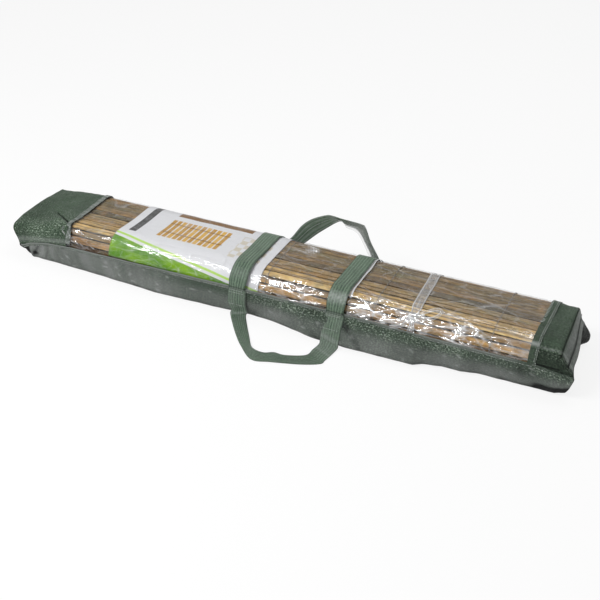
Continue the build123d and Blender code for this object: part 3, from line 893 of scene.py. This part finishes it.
def make_label(material):
    """Printed sheet laid over the roll under the film."""
    low, high = LABEL_BOX
    reach = ROLL_FLAT + SHEET_RADIUS * math.acos((low.z - ROLL_Z) / SHEET_RADIUS)

    def at(u, v):
        return mix(low.x, high.x, u), mix(-reach, reach, v)

    def place(u, v):
        x, s = at(u, v)
        ripple = wander(x * 16, s * 20, 21.0) * 0.5 * MM + math.sin(x * 95) * 0.25 * MM
        skew = 8 * MM * (1 - u) * smooth(0.02, -0.09, s)
        return on_roll(x - skew, s, SHEET_RADIUS + 0.35 * MM + ripple)

    bm = draped_grid(160, 90, place, at)
    face_outwards(bm, Vector((low.x, 0, ROLL_Z)))
    piece = thicken(finish_mesh(bm, "label_sheet", material, ["label_insert"]), 0.2 * MM)
    return piece


def islands(bm):
    """Groups of connected vertices."""
    found, seen = [], set()
    for start in bm.verts:
        if start in seen:
            continue
        group, queue = [], [start]
        seen.add(start)
        while queue:
            vert = queue.pop()
            group.append(vert)
            for edge in vert.link_edges:
                other = edge.other_vert(vert)
                if other not in seen:
                    seen.add(other)
                    queue.append(other)
        found.append(group)
    return found


def make_slats(node, material):
    """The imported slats, each a little narrower, tilted and warped, with its knuckles."""
    bm = bmesh.new()
    bm.from_mesh(NODES[node].data)
    bmesh.ops.remove_doubles(bm, verts=bm.verts[:], dist=1e-6)
    bmesh.ops.dissolve_limit(bm, angle_limit=0.02, verts=bm.verts[:], edges=bm.edges[:])
    long_edges = [e for e in bm.edges if abs(e.verts[0].co.x - e.verts[1].co.x) > 0.5]
    bmesh.ops.subdivide_edges(bm, edges=long_edges, cuts=100, use_grid_fill=False)
    layers = {each: bm.verts.layers.float.new(each) for each in ("tone", "warm", "knuckle")}
    draw = random.Random(node)
    for group in islands(bm):
        centre = sum((v.co for v in group), Vector()) / len(group)
        spread = [(v.co.y - centre.y, v.co.z - centre.z) for v in group]
        angle = 0.5 * math.atan2(2 * sum(a * b for a, b in spread), sum(a * a - b * b for a, b in spread))
        tangent = Vector((0, math.cos(angle), math.sin(angle)))
        outward = Vector((0, -tangent.z, tangent.y))
        if outward.dot(Vector((0, centre.y * 0.3, centre.z - ROLL_Z))) < 0:
            outward = -outward
        front = 1 - smooth(-0.080, -0.005, centre.y)
        low = 1 - smooth(62 * MM, 82 * MM, centre.z)
        shade = min(max(draw.gauss(mix(0.47, 0.75, front) - 0.36 * low, mix(0.14, 0.22, front)), 0.03), 1.0)
        warmth = min(max(draw.gauss(mix(0.22, 0.86, front), 0.18), 0.0), 1.0)
        first, pitch = draw.uniform(-0.45, -0.2), draw.uniform(0.16, 0.34)
        narrow = draw.choice((0.90, 0.97, 0.99, 1.0) if centre.y > -0.020 else (0.76, 0.84, 0.90, 0.96, 0.98))
        lean, sink = draw.gauss(0.0, 0.06), draw.uniform(-0.7, 0.2) * MM
        closing = draw.choice((0.0, 0.9, 1.0))
        slide = draw.uniform(-34, -28) * MM
        seed = draw.uniform(0, 90)
        for vert in group:
            x = vert.co.x
            across = (vert.co - centre).dot(tangent)
            to_knuckle = abs((x - first + pitch / 2) % pitch - pitch / 2)
            swell = math.exp(-(to_knuckle / (3.5 * MM)) ** 2)
            near_end = max(smooth(-0.30, -0.38, x), smooth(0.33, 0.42, x))
            taper = 1 - 0.06 * (0.5 + 0.5 * wander(x * 9, seed, 33.0))
            width = mix(narrow, 1.0, closing * near_end) * taper
            out = across * lean + sink + wander(x * 6, seed, 31.0) * 0.3 * MM + swell * 0.25 * MM
            vert.co += tangent * across * (width - 1)
            vert.co += outward * out
            vert.co += tangent * (wander(x * 3.5, seed, 32.0) * MM)
            vert.co.x += slide * smooth(0.1, -0.42, x)
            vert[layers["tone"]] = max(shade - (0.10 * front + 0.20 * low) * smooth(-0.30, -0.38, x), 0.0)
            vert[layers["warm"]] = warmth
            vert[layers["knuckle"]] = math.exp(-(to_knuckle / (1.7 * MM)) ** 2)
    return finish_mesh(bm, node.replace("slats", "weathered"), material, [node], False)


FRONT_LOOP_OUTER = [(-0.02, 0.20), (0.11, 0.46), (0.27, 0.76), (0.45, 1.0), (0.63, 0.94), (0.88, 0.81),
                    (1.04, 0.67), (1.06, 0.55), (1.07, 0.32)]
FRONT_LOOP_INNER = [(0.16, 0.20), (0.28, 0.51), (0.39, 0.77), (0.51, 0.81), (0.60, 0.74), (0.71, 0.74),
                    (0.87, 0.58), (0.89, 0.39), (0.90, 0.25)]
REAR_LOOP_OUTER = [(0.0, 0.16), (0.10, 0.34), (0.21, 0.64), (0.32, 0.83), (0.46, 0.97), (0.53, 1.0),
                   (0.64, 0.98), (0.84, 0.96), (0.89, 0.90), (0.95, 0.62), (1.05, 0.28)]
REAR_LOOP_INNER = [(0.17, 0.16), (0.25, 0.29), (0.36, 0.50), (0.44, 0.64), (0.61, 0.90), (0.68, 0.85),
                   (0.80, 0.80), (0.88, 0.60), (0.96, 0.28)]


def make_front_handle(material):
    """Sewn down the front wall, then fallen forward on the ground with its inner edge lifted."""
    half = STRAP_WIDTH / 2
    root = FRONT_Y - 0.2 * MM

    def leg(x):
        """Down the wall from the seam and bent softly on to the ground."""
        wall = [on_bag(x, -seam_s(x, -1) - drop * MM, lift * MM)
                for drop, lift in ((-3, 2.2), (10, 3.4), (24, 5.0), (34, 5.0))]
        foot = section_at(x)[1]
        inner = 7 * MM * (1 if x < BAND_LEFT_X else 0.4 if x < 0 else 0)
        return wall + [Vector((x + inner, foot - out * MM, z * MM)) for out, z in ((4, 11), (9, 4))]

    def edge(shares, first, last, raised):
        ground = []
        for a, b in shares:
            x = BAND_LEFT_X + BAND_SPACING * a
            y = root - LOOP_REACH * b
            wave = wander(x * 26, y * 22, 51.0) * 2.0 + raised * smooth(0.45, 0.7, b)
            ground.append(Vector((x, y, 1.9 * MM + max(wave, 0.0) * MM)))
        return curve_through(leg(first) + ground[1:-1] + leg(last)[::-1], 170)

    outer = edge(FRONT_LOOP_OUTER, BAND_LEFT_X - half, BAND_RIGHT_X + half, 0.0)
    inner = edge(FRONT_LOOP_INNER, BAND_LEFT_X + half, BAND_RIGHT_X - half, 4.0)

    def pale(u, v):
        near = max(bell(u, 0.135, 0.012), bell(u, 0.875, 0.02), bell(u, 0.80, 0.012) * 0.7)
        fleck = 0.5 + 0.5 * wander(u * 160, v * 9, 52.0)
        return near * 0.45 * fleck + 0.22 * bell(u, 0.82, 0.10) * fleck + 0.10 * smooth(0.9, 1.0, v)

    paints = {"pale": pale, "dust_and_sheen": lambda u, v: 0.30 + 0.25 * wander(u * 20, v * 3, 56.0)}
    return ribbon("front_carry_loop", list(zip(outer, inner)), material, ["handle_front"],
                  STRAP_THICKNESS, 12, paints)


def make_rear_handle(material, film):
    """Standing up behind the roll; its right half is folded narrow, with a white edge."""
    low, high = REAR_LOOP_BOX
    half = STRAP_WIDTH / 2
    rise = high.z - low.z

    def edge(shares, first, last, lean):
        loop = [Vector((BAND_LEFT_X + BAND_SPACING * a, high.y + (2.0 + lean * b) * MM, low.z + rise * b))
                for a, b in shares]
        feet = [Vector((x, high.y + 0.5 * MM, low.z + 2 * MM)) for x in (first, last)]
        return curve_through([feet[0]] + loop + [feet[1]], 150)

    outer = edge(REAR_LOOP_OUTER, BAND_LEFT_X - half, BAND_RIGHT_X + half, 1.0)
    inner = edge(REAR_LOOP_INNER, BAND_LEFT_X + half, BAND_RIGHT_X - half, 5.0)

    def pale(u, v):
        right = smooth(0.52, 0.66, u)
        lines = max(math.sin(v * math.pi * 9.5), 0.0) ** 3 * (1 - smooth(0.42, 0.50, u))
        lines *= 0.42 + 0.35 * wander(u * 24, v * 6, 55.0)
        rag = 0.75 + 0.5 * wander(u * 60, v * 7, 53.0)
        frayed = right * (0.48 + 0.6 * smooth(0.40, 0.62, v)) * rag
        return min(frayed + lines + 0.35 * bell(u, 0.49, 0.05), 1.0)

    # The right half greys with dust and painted sheen.
    paints = {"pale": pale, "dust_and_sheen": lambda u, v: 0.15 + 0.55 * smooth(0.5, 0.62, u)}
    folded = []
    for index in range(74, 148):
        top, low_edge = outer[index], inner[index]
        inwards = (low_edge - top).normalized()
        wide = 6.5 * MM * smooth(74, 82, index) + 1.2 * MM * wander(index * 0.2, 1.0, 54.0)
        front = Vector((0, -1.6 * MM, 0))
        folded.append((low_edge - inwards * 2.5 * MM + front, low_edge + inwards * wide + front))
    ribbon("rear_loop_film", folded, film, (), 0.4 * MM, 4)
    return ribbon("rear_carry_loop", list(zip(outer, inner)), material, ["handle_rear"],
                  STRAP_THICKNESS, 40, paints)


def make_band(name, x_middle, material, node, glare_strength):
    """Strap over the roll, from the front seam down the back, with both its edges pinched in places; it
    carries a painted glare on the front shoulder and painted shade at its foot and along its edges.
    """
    half = STRAP_WIDTH / 2
    s0 = -seam_s(x_middle, -1) - 2 * MM
    s1 = half_girth(section_at(x_middle), 1) - BACK_Y - 30 * MM

    def pair(s):
        bend = wander(s * 22, x_middle * 9, 41.0) * 1.4 * MM
        neck = 2.2 * MM * bell(s, s0, 20 * MM)
        lift = mix(2.1, 0.8, smooth(-0.05, 0.02, s)) * MM + 0.9 * MM * bell(s, s0, 26 * MM)
        lift += wander(s * 30, x_middle, 42.0) * 0.5 * MM
        return (on_bag(x_middle - half + bend + neck, s, lift),
                on_bag(x_middle + half + bend - neck, s, lift))

    def pale(u, v):
        s = mix(s0, s1, u)
        # Painted highlight: glare on the front shoulder.
        glare = bell(s, -0.086, 17 * MM) * glare_strength * (0.45 + 0.5 * wander(s * 260, v * 9, 43.0))
        return max(glare, 0.0) + 0.25 * bell(s, s0, 5 * MM)

    def dark(u, v):
        s = mix(s0, s1, u)
        # Painted shade at the strap's foot and along its edges.
        return min(0.75 * bell(s, s0 + 3 * MM, 2.2 * MM) + 0.35 * smooth(0.07, 0.0, min(v, 1 - v)), 1.0)

    paints = {"pale": pale, "dark": dark, "dust_and_sheen": lambda u, v: 0.12}
    return ribbon(name, sweep(s0, s1, 140, pair), material, [node], STRAP_THICKNESS, 12, paints)


def make_band_film(material):
    """Milky strip of film that shows along the right band's right edge."""
    x = BAND_RIGHT_X + STRAP_WIDTH / 2

    def pair(s):
        wide = 5.6 * MM + 1.8 * MM * wander(s * 30, 3.0, 44.0)
        return on_bag(x - 1.0 * MM, s, 1.6 * MM), on_bag(x + wide, s, 1.1 * MM)

    rows = sweep(-0.080, 0.098, 110, pair)
    return ribbon("band_film_edge", rows, material, (), 0.3 * MM, 3)


def make_tie(material):
    """Plastic tie round the roll, drawn to a knot on the front shoulder."""
    radius = SHEET_RADIUS + 0.3 * MM
    girth = 4 * ROLL_FLAT + math.tau * radius
    knot = -0.092
    rows = []
    for step in range(181):
        s = girth * (step / 180 - 0.5)
        lean = mix(8 * MM, -4 * MM, smooth(-0.10, 0.10, s))
        half = mix(9.5 * MM, 4 * MM, bell(s, knot, 34 * MM))
        middle = RIBBON_X + lean * 0.6 + wander(s * 20, 2.0, 61.0) * 0.8 * MM
        rows.append((on_roll(middle - half, s, radius), on_roll(middle + half, s, radius)))
    return ribbon("tie_band", rows, material, ["tie_ribbon"], 0.3 * MM, 6)


def flat_strip(name, points, width, material, thickness=0.35 * MM, count=40):
    """Narrow strip along a smooth line, lying across the outward direction of the front shoulder."""
    outward = Vector((0.0, -0.72, 0.69))
    line = curve_through([Vector(p) * MM for p in points], count)
    rows = []
    for index, point in enumerate(line):
        ahead = line[min(index + 1, count - 1)] - line[max(index - 1, 0)]
        side = ahead.cross(outward).normalized() * width / 2
        rows.append((point - side, point + side))
    return ribbon(name, rows, material, (), thickness, 3)


def make_bow(material):
    """The tie's knot: two loops, two tails and the lump between them, pressed under the film."""
    strips = (("bow_loop_right", 5.5, [(301, -83, 86.5), (316, -74, 92), (332, -62, 97), (344, -58, 98.5),
                                       (349, -66, 96.5), (340, -77, 90.5), (322, -83, 86.5),
                                       (303, -84, 85)]),
              ("bow_loop_left", 5.0, [(300, -83, 86.5), (288, -88, 83), (275, -92.5, 78), (266, -95, 73),
                                      (270, -96, 70), (282, -94, 75), (293, -88, 82), (301, -83, 86)]),
              ("bow_tail_short", 6.0, [(300, -84, 86), (304, -90, 79), (305, -94.5, 71), (303, -97, 63)]),
              ("bow_tail_long", 6.0, [(299, -84, 86), (294, -90, 79), (287, -94.5, 71), (276, -96.5, 65),
                                      (262, -97.5, 62)]))
    for name, width, points in strips:
        flat_strip(name, points, width * MM, material)
    flat_strip("bow_knot", [(294, -82, 87.5), (299, -86, 87), (306, -85.5, 85.5)], 9.0 * MM, material,
               thickness=2.2 * MM, count=14)


def make_hem(name, side, inner_edge, outer_edge, material, dust_and_sheen_amount):
    """Folded strip of cloth along a seam; its two edges are so far from the seam."""
    left, right = BAG_LEFT_X + 4 * MM, BAG_RIGHT_X - 6 * MM
    reach = right - left

    def pair(x):
        seam = side * seam_s(x, side)
        a, b = seam + inner_edge, seam + outer_edge
        lift = 1.2 * MM + wander(x * 60, a * 20, 71.0) * 0.6 * MM
        return on_bag(x, a, lift), on_bag(x, b, lift * 0.8)

    def plain(u):
        return 1 - 0.85 * smooth(0.485, 0.515, left + u * reach)

    # Dust and painted sheen grey the hem; its dark mark is painted shade at the left end's lower corner.
    paints = {"dust_and_sheen": lambda u, v: dust_and_sheen_amount * plain(u),
              "pale": lambda u, v: 0.30 * bell(v, 0.15, 0.3) * plain(u),
              "dark": lambda u, v: bell(left + u * reach, -0.577, 11 * MM) * smooth(0.2, 0.6, v)}
    return ribbon(name, sweep(left, right, 260, pair), material, (), 0.7 * MM, 5, paints)


def make_cross_hem(name, middle, half, s_range, material, dust_and_sheen_amount, pale_share):
    """Folded strip across the bag, at one end of the window; middle(s) gives its x."""
    def pair(s):
        x = middle(s) + wander(s * 70, 4.0, 72.0) * 0.9 * MM
        up = 0.9 * MM + wander(s * 90, 6.0, 73.0) * 0.7 * MM
        wide = half(s)
        return on_bag(x - wide, s, up), on_bag(x + wide, s, up * 0.8)

    paints = {"dust_and_sheen": lambda u, v: dust_and_sheen_amount, "pale": pale_share}
    return ribbon(name, sweep(*s_range, 150, pair), material, (), 0.8 * MM, 6, paints)


def add_stitch(bm, point, along, normal, size):
    """One stitch: a small flat block on the cloth."""
    along = along.normalized()
    side = normal.cross(along).normalized()
    turn = Matrix((along, side, normal.normalized())).transposed().to_4x4()
    block = bmesh.ops.create_cube(bm, size=1.0)
    for vert in block["verts"]:
        vert.co = turn @ Vector((vert.co.x * size[0], vert.co.y * size[1], vert.co.z * size[2])) + point


def surface(x, s, lift):
    """Point on the bag, with its outward normal."""
    point = on_bag(x, s, lift)
    return point, (on_bag(x, s, lift + 2 * MM) - point).normalized()


def make_stitches(material):
    """Rows of stitches along the seams, the hems and the feet of the straps."""
    bm = bmesh.new()
    draw = random.Random(5)

    def row(place, count, size, skip):
        spots = [place(step / count) for step in range(count + 1)]
        for (point, normal), (ahead, _) in zip(spots, spots[1:]):
            if draw.random() < skip:
                continue
            add_stitch(bm, point, ahead - point, normal, [each * draw.uniform(0.75, 1.2) for each in size])

    thin = (3.0 * MM, 0.55 * MM, 0.4 * MM)
    short = (2.0 * MM, 0.6 * MM, 0.4 * MM)
    for side in (-1, 1):
        row(lambda t: surface(mix(-0.575, 0.585, t), side * (seam_s(mix(-0.575, 0.585, t), side) + 4.2 * MM),
                              1.9 * MM), 230, thin, 0.25)
    for x in (533 * MM, 536.5 * MM):
        row(lambda t: surface(x, mix(-0.117, 0.115, t), 2.1 * MM), 62, (2.1 * MM, 0.6 * MM, 0.4 * MM), 0.15)
    row(lambda t: surface(524 * MM, mix(-0.02, 0.10, t), 2.6 * MM), 26, (1.0 * MM, 4.2 * MM, 0.4 * MM), 0.3)
    for x_middle in (BAND_LEFT_X, BAND_RIGHT_X):
        half = STRAP_WIDTH / 2 - 4 * MM
        base = -seam_s(x_middle, -1)
        lines = [(base - drop, 4.2 * MM + drop * 0.09) for drop in (4 * MM, 9 * MM, 34 * MM)]
        lines += [(0.125 + drop, 3.0 * MM) for drop in (-3 * MM, 4 * MM)]
        for s, lift in lines:
            row(lambda t: surface(mix(x_middle - half, x_middle + half, t), s, lift), 11, short, 0.1)
    return finish_mesh(bm, "seam_stitches", material, (), False)


def make_outer_wires(material):
    """The binding wires' outer runs: a twisted pair over the slats, kinked where it grips each one."""
    for index, x in enumerate((0.0, 225 * MM, 450 * MM)):
        def pair(s):
            kink = wander(s * 130, index * 5.0, 81.0) * 1.1 * MM
            half = (0.36 + 0.16 * math.sin(s * 1500)) * MM
            up = SHEET_RADIUS - 0.9 * MM + 0.4 * MM * math.sin(s * 620 + index)
            return on_roll(x + kink - half, s, up), on_roll(x + kink + half, s, up)

        rows = sweep(-0.118, 0.118, 150, pair)
        ribbon("outer_wire_%d" % (index + 1), rows, material, (), 0.8 * MM, 2)


def make_film_shreds(material):
    """Loose white slivers of film by the window's left front corner."""
    draw = random.Random(23)
    spots = [(-446, -93, 13, -52), (-431, -96, 15, -50), (-404, -87, 12, -35), (-392, -92, 10, 60),
             (-386, -99, 8, 20), (-421, -106, 9, -30), (-409, -108, 10, -60), (-398, -110, 9, -40),
             (-371, -110, 12, -20), (-452, -84, 8, -70)]
    for index, (x, s, length, angle) in enumerate(spots):
        a = math.radians(angle)
        rows = []
        for step in range(9):
            t = step / 8 - 0.5
            px = (x - 14 + math.cos(a) * length * t + 1.6 * math.sin(t * 6 + index)) * MM
            ps = (s + math.sin(a) * length * t) * MM
            wide = draw.uniform(0.5, 1.3) * (1.1 - abs(t) * 1.6) * MM
            rows.append((on_bag(px - wide, ps - wide, 2.1 * MM), on_bag(px + wide, ps + wide, 2.9 * MM)))
        ribbon("film_shred_%d" % (index + 1), rows, material, (), 0.25 * MM, 2)


def make_camera():
    """The photograph's view: 25 degrees round from the front and 33 degrees up."""
    azimuth, elevation, distance = math.radians(25.2), math.radians(33), 2.304
    aim = Vector((0.035, 0, 0))
    back = Vector((math.sin(azimuth) * math.cos(elevation), -math.cos(azimuth) * math.cos(elevation),
                   math.sin(elevation)))
    data = bpy.data.cameras.new("camera")
    data.lens, data.sensor_width = 69.12, 36
    data.clip_end = 50
    camera = in_scene("camera", data)
    camera.location = aim + back * distance
    camera.rotation_mode = "QUATERNION"
    camera.rotation_quaternion = (-back).to_track_quat("-Z", "Y")
    bpy.context.scene.camera = camera


def add_lamp(name, direction, distance, size, power):
    data = bpy.data.lights.new(name, "AREA")
    data.shape, data.size, data.size_y, data.energy = "RECTANGLE", size[0], size[1], power
    lamp = in_scene(name, data)
    towards = Vector(direction).normalized()
    lamp.location = towards * distance
    lamp.rotation_mode = "QUATERNION"
    lamp.rotation_quaternion = towards.to_track_quat("Z", "Y")


def rays_seen(tree):
    """1 for rays from the camera, direct or by way of a gloss or clear film."""
    path = tree.nodes.new("ShaderNodeLightPath")
    seen = path.outputs["Is Camera Ray"]
    for name in ("Is Glossy Ray", "Is Transmission Ray"):
        either = tree.nodes.new("ShaderNodeMath")
        either.operation = "MAXIMUM"
        tree.links.new(seen, either.inputs[0])
        tree.links.new(path.outputs[name], either.inputs[1])
        seen = either.outputs[0]
    return seen


def make_studio():
    """White floor and surround, with a soft key from the front left."""
    scene = bpy.context.scene
    scene.view_settings.view_transform = "Standard"
    world = bpy.data.worlds.new("studio")
    scene.world = world
    world.use_nodes = True
    tree = world.node_tree
    light = tree.nodes["Background"]
    light.inputs["Color"].default_value = (1, 1, 1, 1)
    light.inputs["Strength"].default_value = SURROUND_LIGHT
    backdrop = tree.nodes.new("ShaderNodeBackground")
    mixed = tree.nodes.new("ShaderNodeMixShader")
    tree.links.new(rays_seen(tree), mixed.inputs["Fac"])
    tree.links.new(light.outputs[0], mixed.inputs[1])
    tree.links.new(backdrop.outputs[0], mixed.inputs[2])
    tree.links.new(mixed.outputs[0], tree.nodes["World Output"].inputs["Surface"])
    add_lamp("key", (-0.36, -0.55, 0.76), 2.6, (1.3, 0.5), 46)
    add_lamp("top", (0.2, 0.35, 1.0), 2.6, (1.6, 1.0), 13)
    bm = bmesh.new()
    bmesh.ops.create_grid(bm, x_segments=1, y_segments=1, size=15)
    mesh = bpy.data.meshes.new("floor")
    bm.to_mesh(mesh)
    bm.free()
    floor = in_scene("floor", mesh)
    r = Recipe("pale_floor")
    r.set(r.shader, Base_Color=(0.9, 0.9, 0.9), Roughness=0.9)
    glow = r.add("Emission", Color=(1, 1, 1), Strength=1.0)
    shown = Value(r, rays_seen(r.tree)) * FLOOR_GLOW
    both = r.add("MixShader", Fac=shown, i1=r.shader.outputs[0], i2=glow.outputs[0])
    r.tree.links.new(both.outputs[0], r.output.inputs["Surface"])
    mesh.materials.append(r.material)


def build():
    cloth = woven_cloth("woven_cloth", (0.012, 0.027, 0.014), (0.070, 0.118, 0.072), CLOTH_TAPE)
    strap = woven_cloth("woven_strap", (0.043, 0.084, 0.050), (0.176, 0.292, 0.180), 1.7 * MM, rib=5.2 * MM)
    # A near-black copy of the cloth for the right end: painted shade for the recessed end.
    shade_cloth = woven_cloth("end_cloth", (0.003, 0.004, 0.003), (0.014, 0.019, 0.015), CLOTH_TAPE,
                              shine=0.15)
    film = clear_film("clear_film")
    slat = bamboo("outer_bamboo", True)
    inner = bamboo("inner_bamboo", False)
    wire = fine_strand("binding_wire", 300.0, 5.0, 0.6,
                       [(0.38, (0.050, 0.036, 0.026)), (0.62, (0.36, 0.35, 0.32))], 0.45, 0.7)
    milky = milky_ribbon("milky_plastic", 19 * MM)
    strip = milky_ribbon("milky_strip", 5 * MM)
    thread = fine_strand("stitch_thread", 1400.0, 2.0, 0.5,
                         [(0.3, (0.30, 0.33, 0.30)), (0.7, (0.62, 0.66, 0.62))], 0.6)
    for name, node in NODES.items():
        for start, finish in (("slats_turn", inner), ("binding_wire", wire)):
            if name.startswith(start):
                node.data.materials.clear()
                node.data.materials.append(finish)
    make_slats("slats_turn_1", slat)
    make_body(cloth)
    panel = woven_cloth("panel_cloth", (0.010, 0.025, 0.011), (0.062, 0.118, 0.062), CLOTH_TAPE,
                        gloss=0.42, shine=0.30)
    # Both panels get painted glints on the front shoulder; on the right one, dust and painted sheen grey the
    # turned-over edge.
    make_top_panel("left_top_cloth", BAG_LEFT_X, WINDOW_LEFT_X - HEM_BACK, panel, "bag_top_left",
                   lambda x, s: 0.04, left_folds, left_crease, lambda x, s: 0.75 * bell(s, -0.085, 85 * MM),
                   lambda x, s: 0.20 * bell(s, -0.112, 9 * MM))
    make_top_panel("right_top_cloth", WINDOW_RIGHT_X, BAG_RIGHT_X, panel, "bag_top_right",
                   lambda x, s: 0.11 + 0.70 * smooth(0.576, 0.581, x) * smooth(-0.094, -0.084, s),
                   right_folds, right_crease,
                   lambda x, s: 0.8 * bell(s, -0.090, 16 * MM),
                   lambda x, s: 0.30 * bell(s, -0.083, 4 * MM) * (0.6 + 0.9 * wander(x * 190, s * 200, 24.0)))
    make_end("left_end_cloth", BAG_LEFT_X, 1, 16 * MM, cloth, "bag_end_left", 8.0)
    make_end("right_end_cloth", BAG_RIGHT_X, -1, 20 * MM, shade_cloth, "bag_end_right", 9.0)
    make_film(film)
    make_label(printed_label("label_print"))
    make_band("left_strap_band", BAND_LEFT_X, strap, "band_left", 0.25)
    make_band("right_strap_band", BAND_RIGHT_X, strap, "band_right", 1.0)
    make_band_film(strip)
    make_front_handle(strap)
    make_rear_handle(strap, strip)
    make_tie(milky)
    make_bow(strip)
    make_hem("front_seam_hem", -1, 1.5 * MM, -6.0 * MM, cloth, 0.5)
    make_hem("rear_seam_hem", 1, -1.5 * MM, 6.0 * MM, cloth, 0.4)
    make_cross_hem("left_window_hem", lambda s: (WINDOW_LEFT_X - 14.5 * MM - 8 * MM * smooth(0.05, 0.10, s)
                                               - 8 * MM * bell(s, -0.074, 24 * MM)),
                   lambda s: 5.4 * MM + 2.0 * MM * wander(s * 80, 1.0, 74.0), (-0.116, 0.112), cloth, 0.30,
                   lambda u, v: 0.10 + 0.75 * smooth(0.05, 0.4, wander(u * 170, v * 6, 75.0)))
    make_cross_hem("right_window_hem", lambda s: WINDOW_RIGHT_X + 7 * MM, lambda s: 7.5 * MM, (-0.117, 0.115),
                   panel, 0.14, lambda u, v: 0.22 * bell(v, 0.92, 0.16) + 0.5 * bell(u, 0.16, 0.03))
    make_stitches(thread)
    make_film_shreds(strip)
    make_outer_wires(wire)


make_camera()
make_studio()
build()
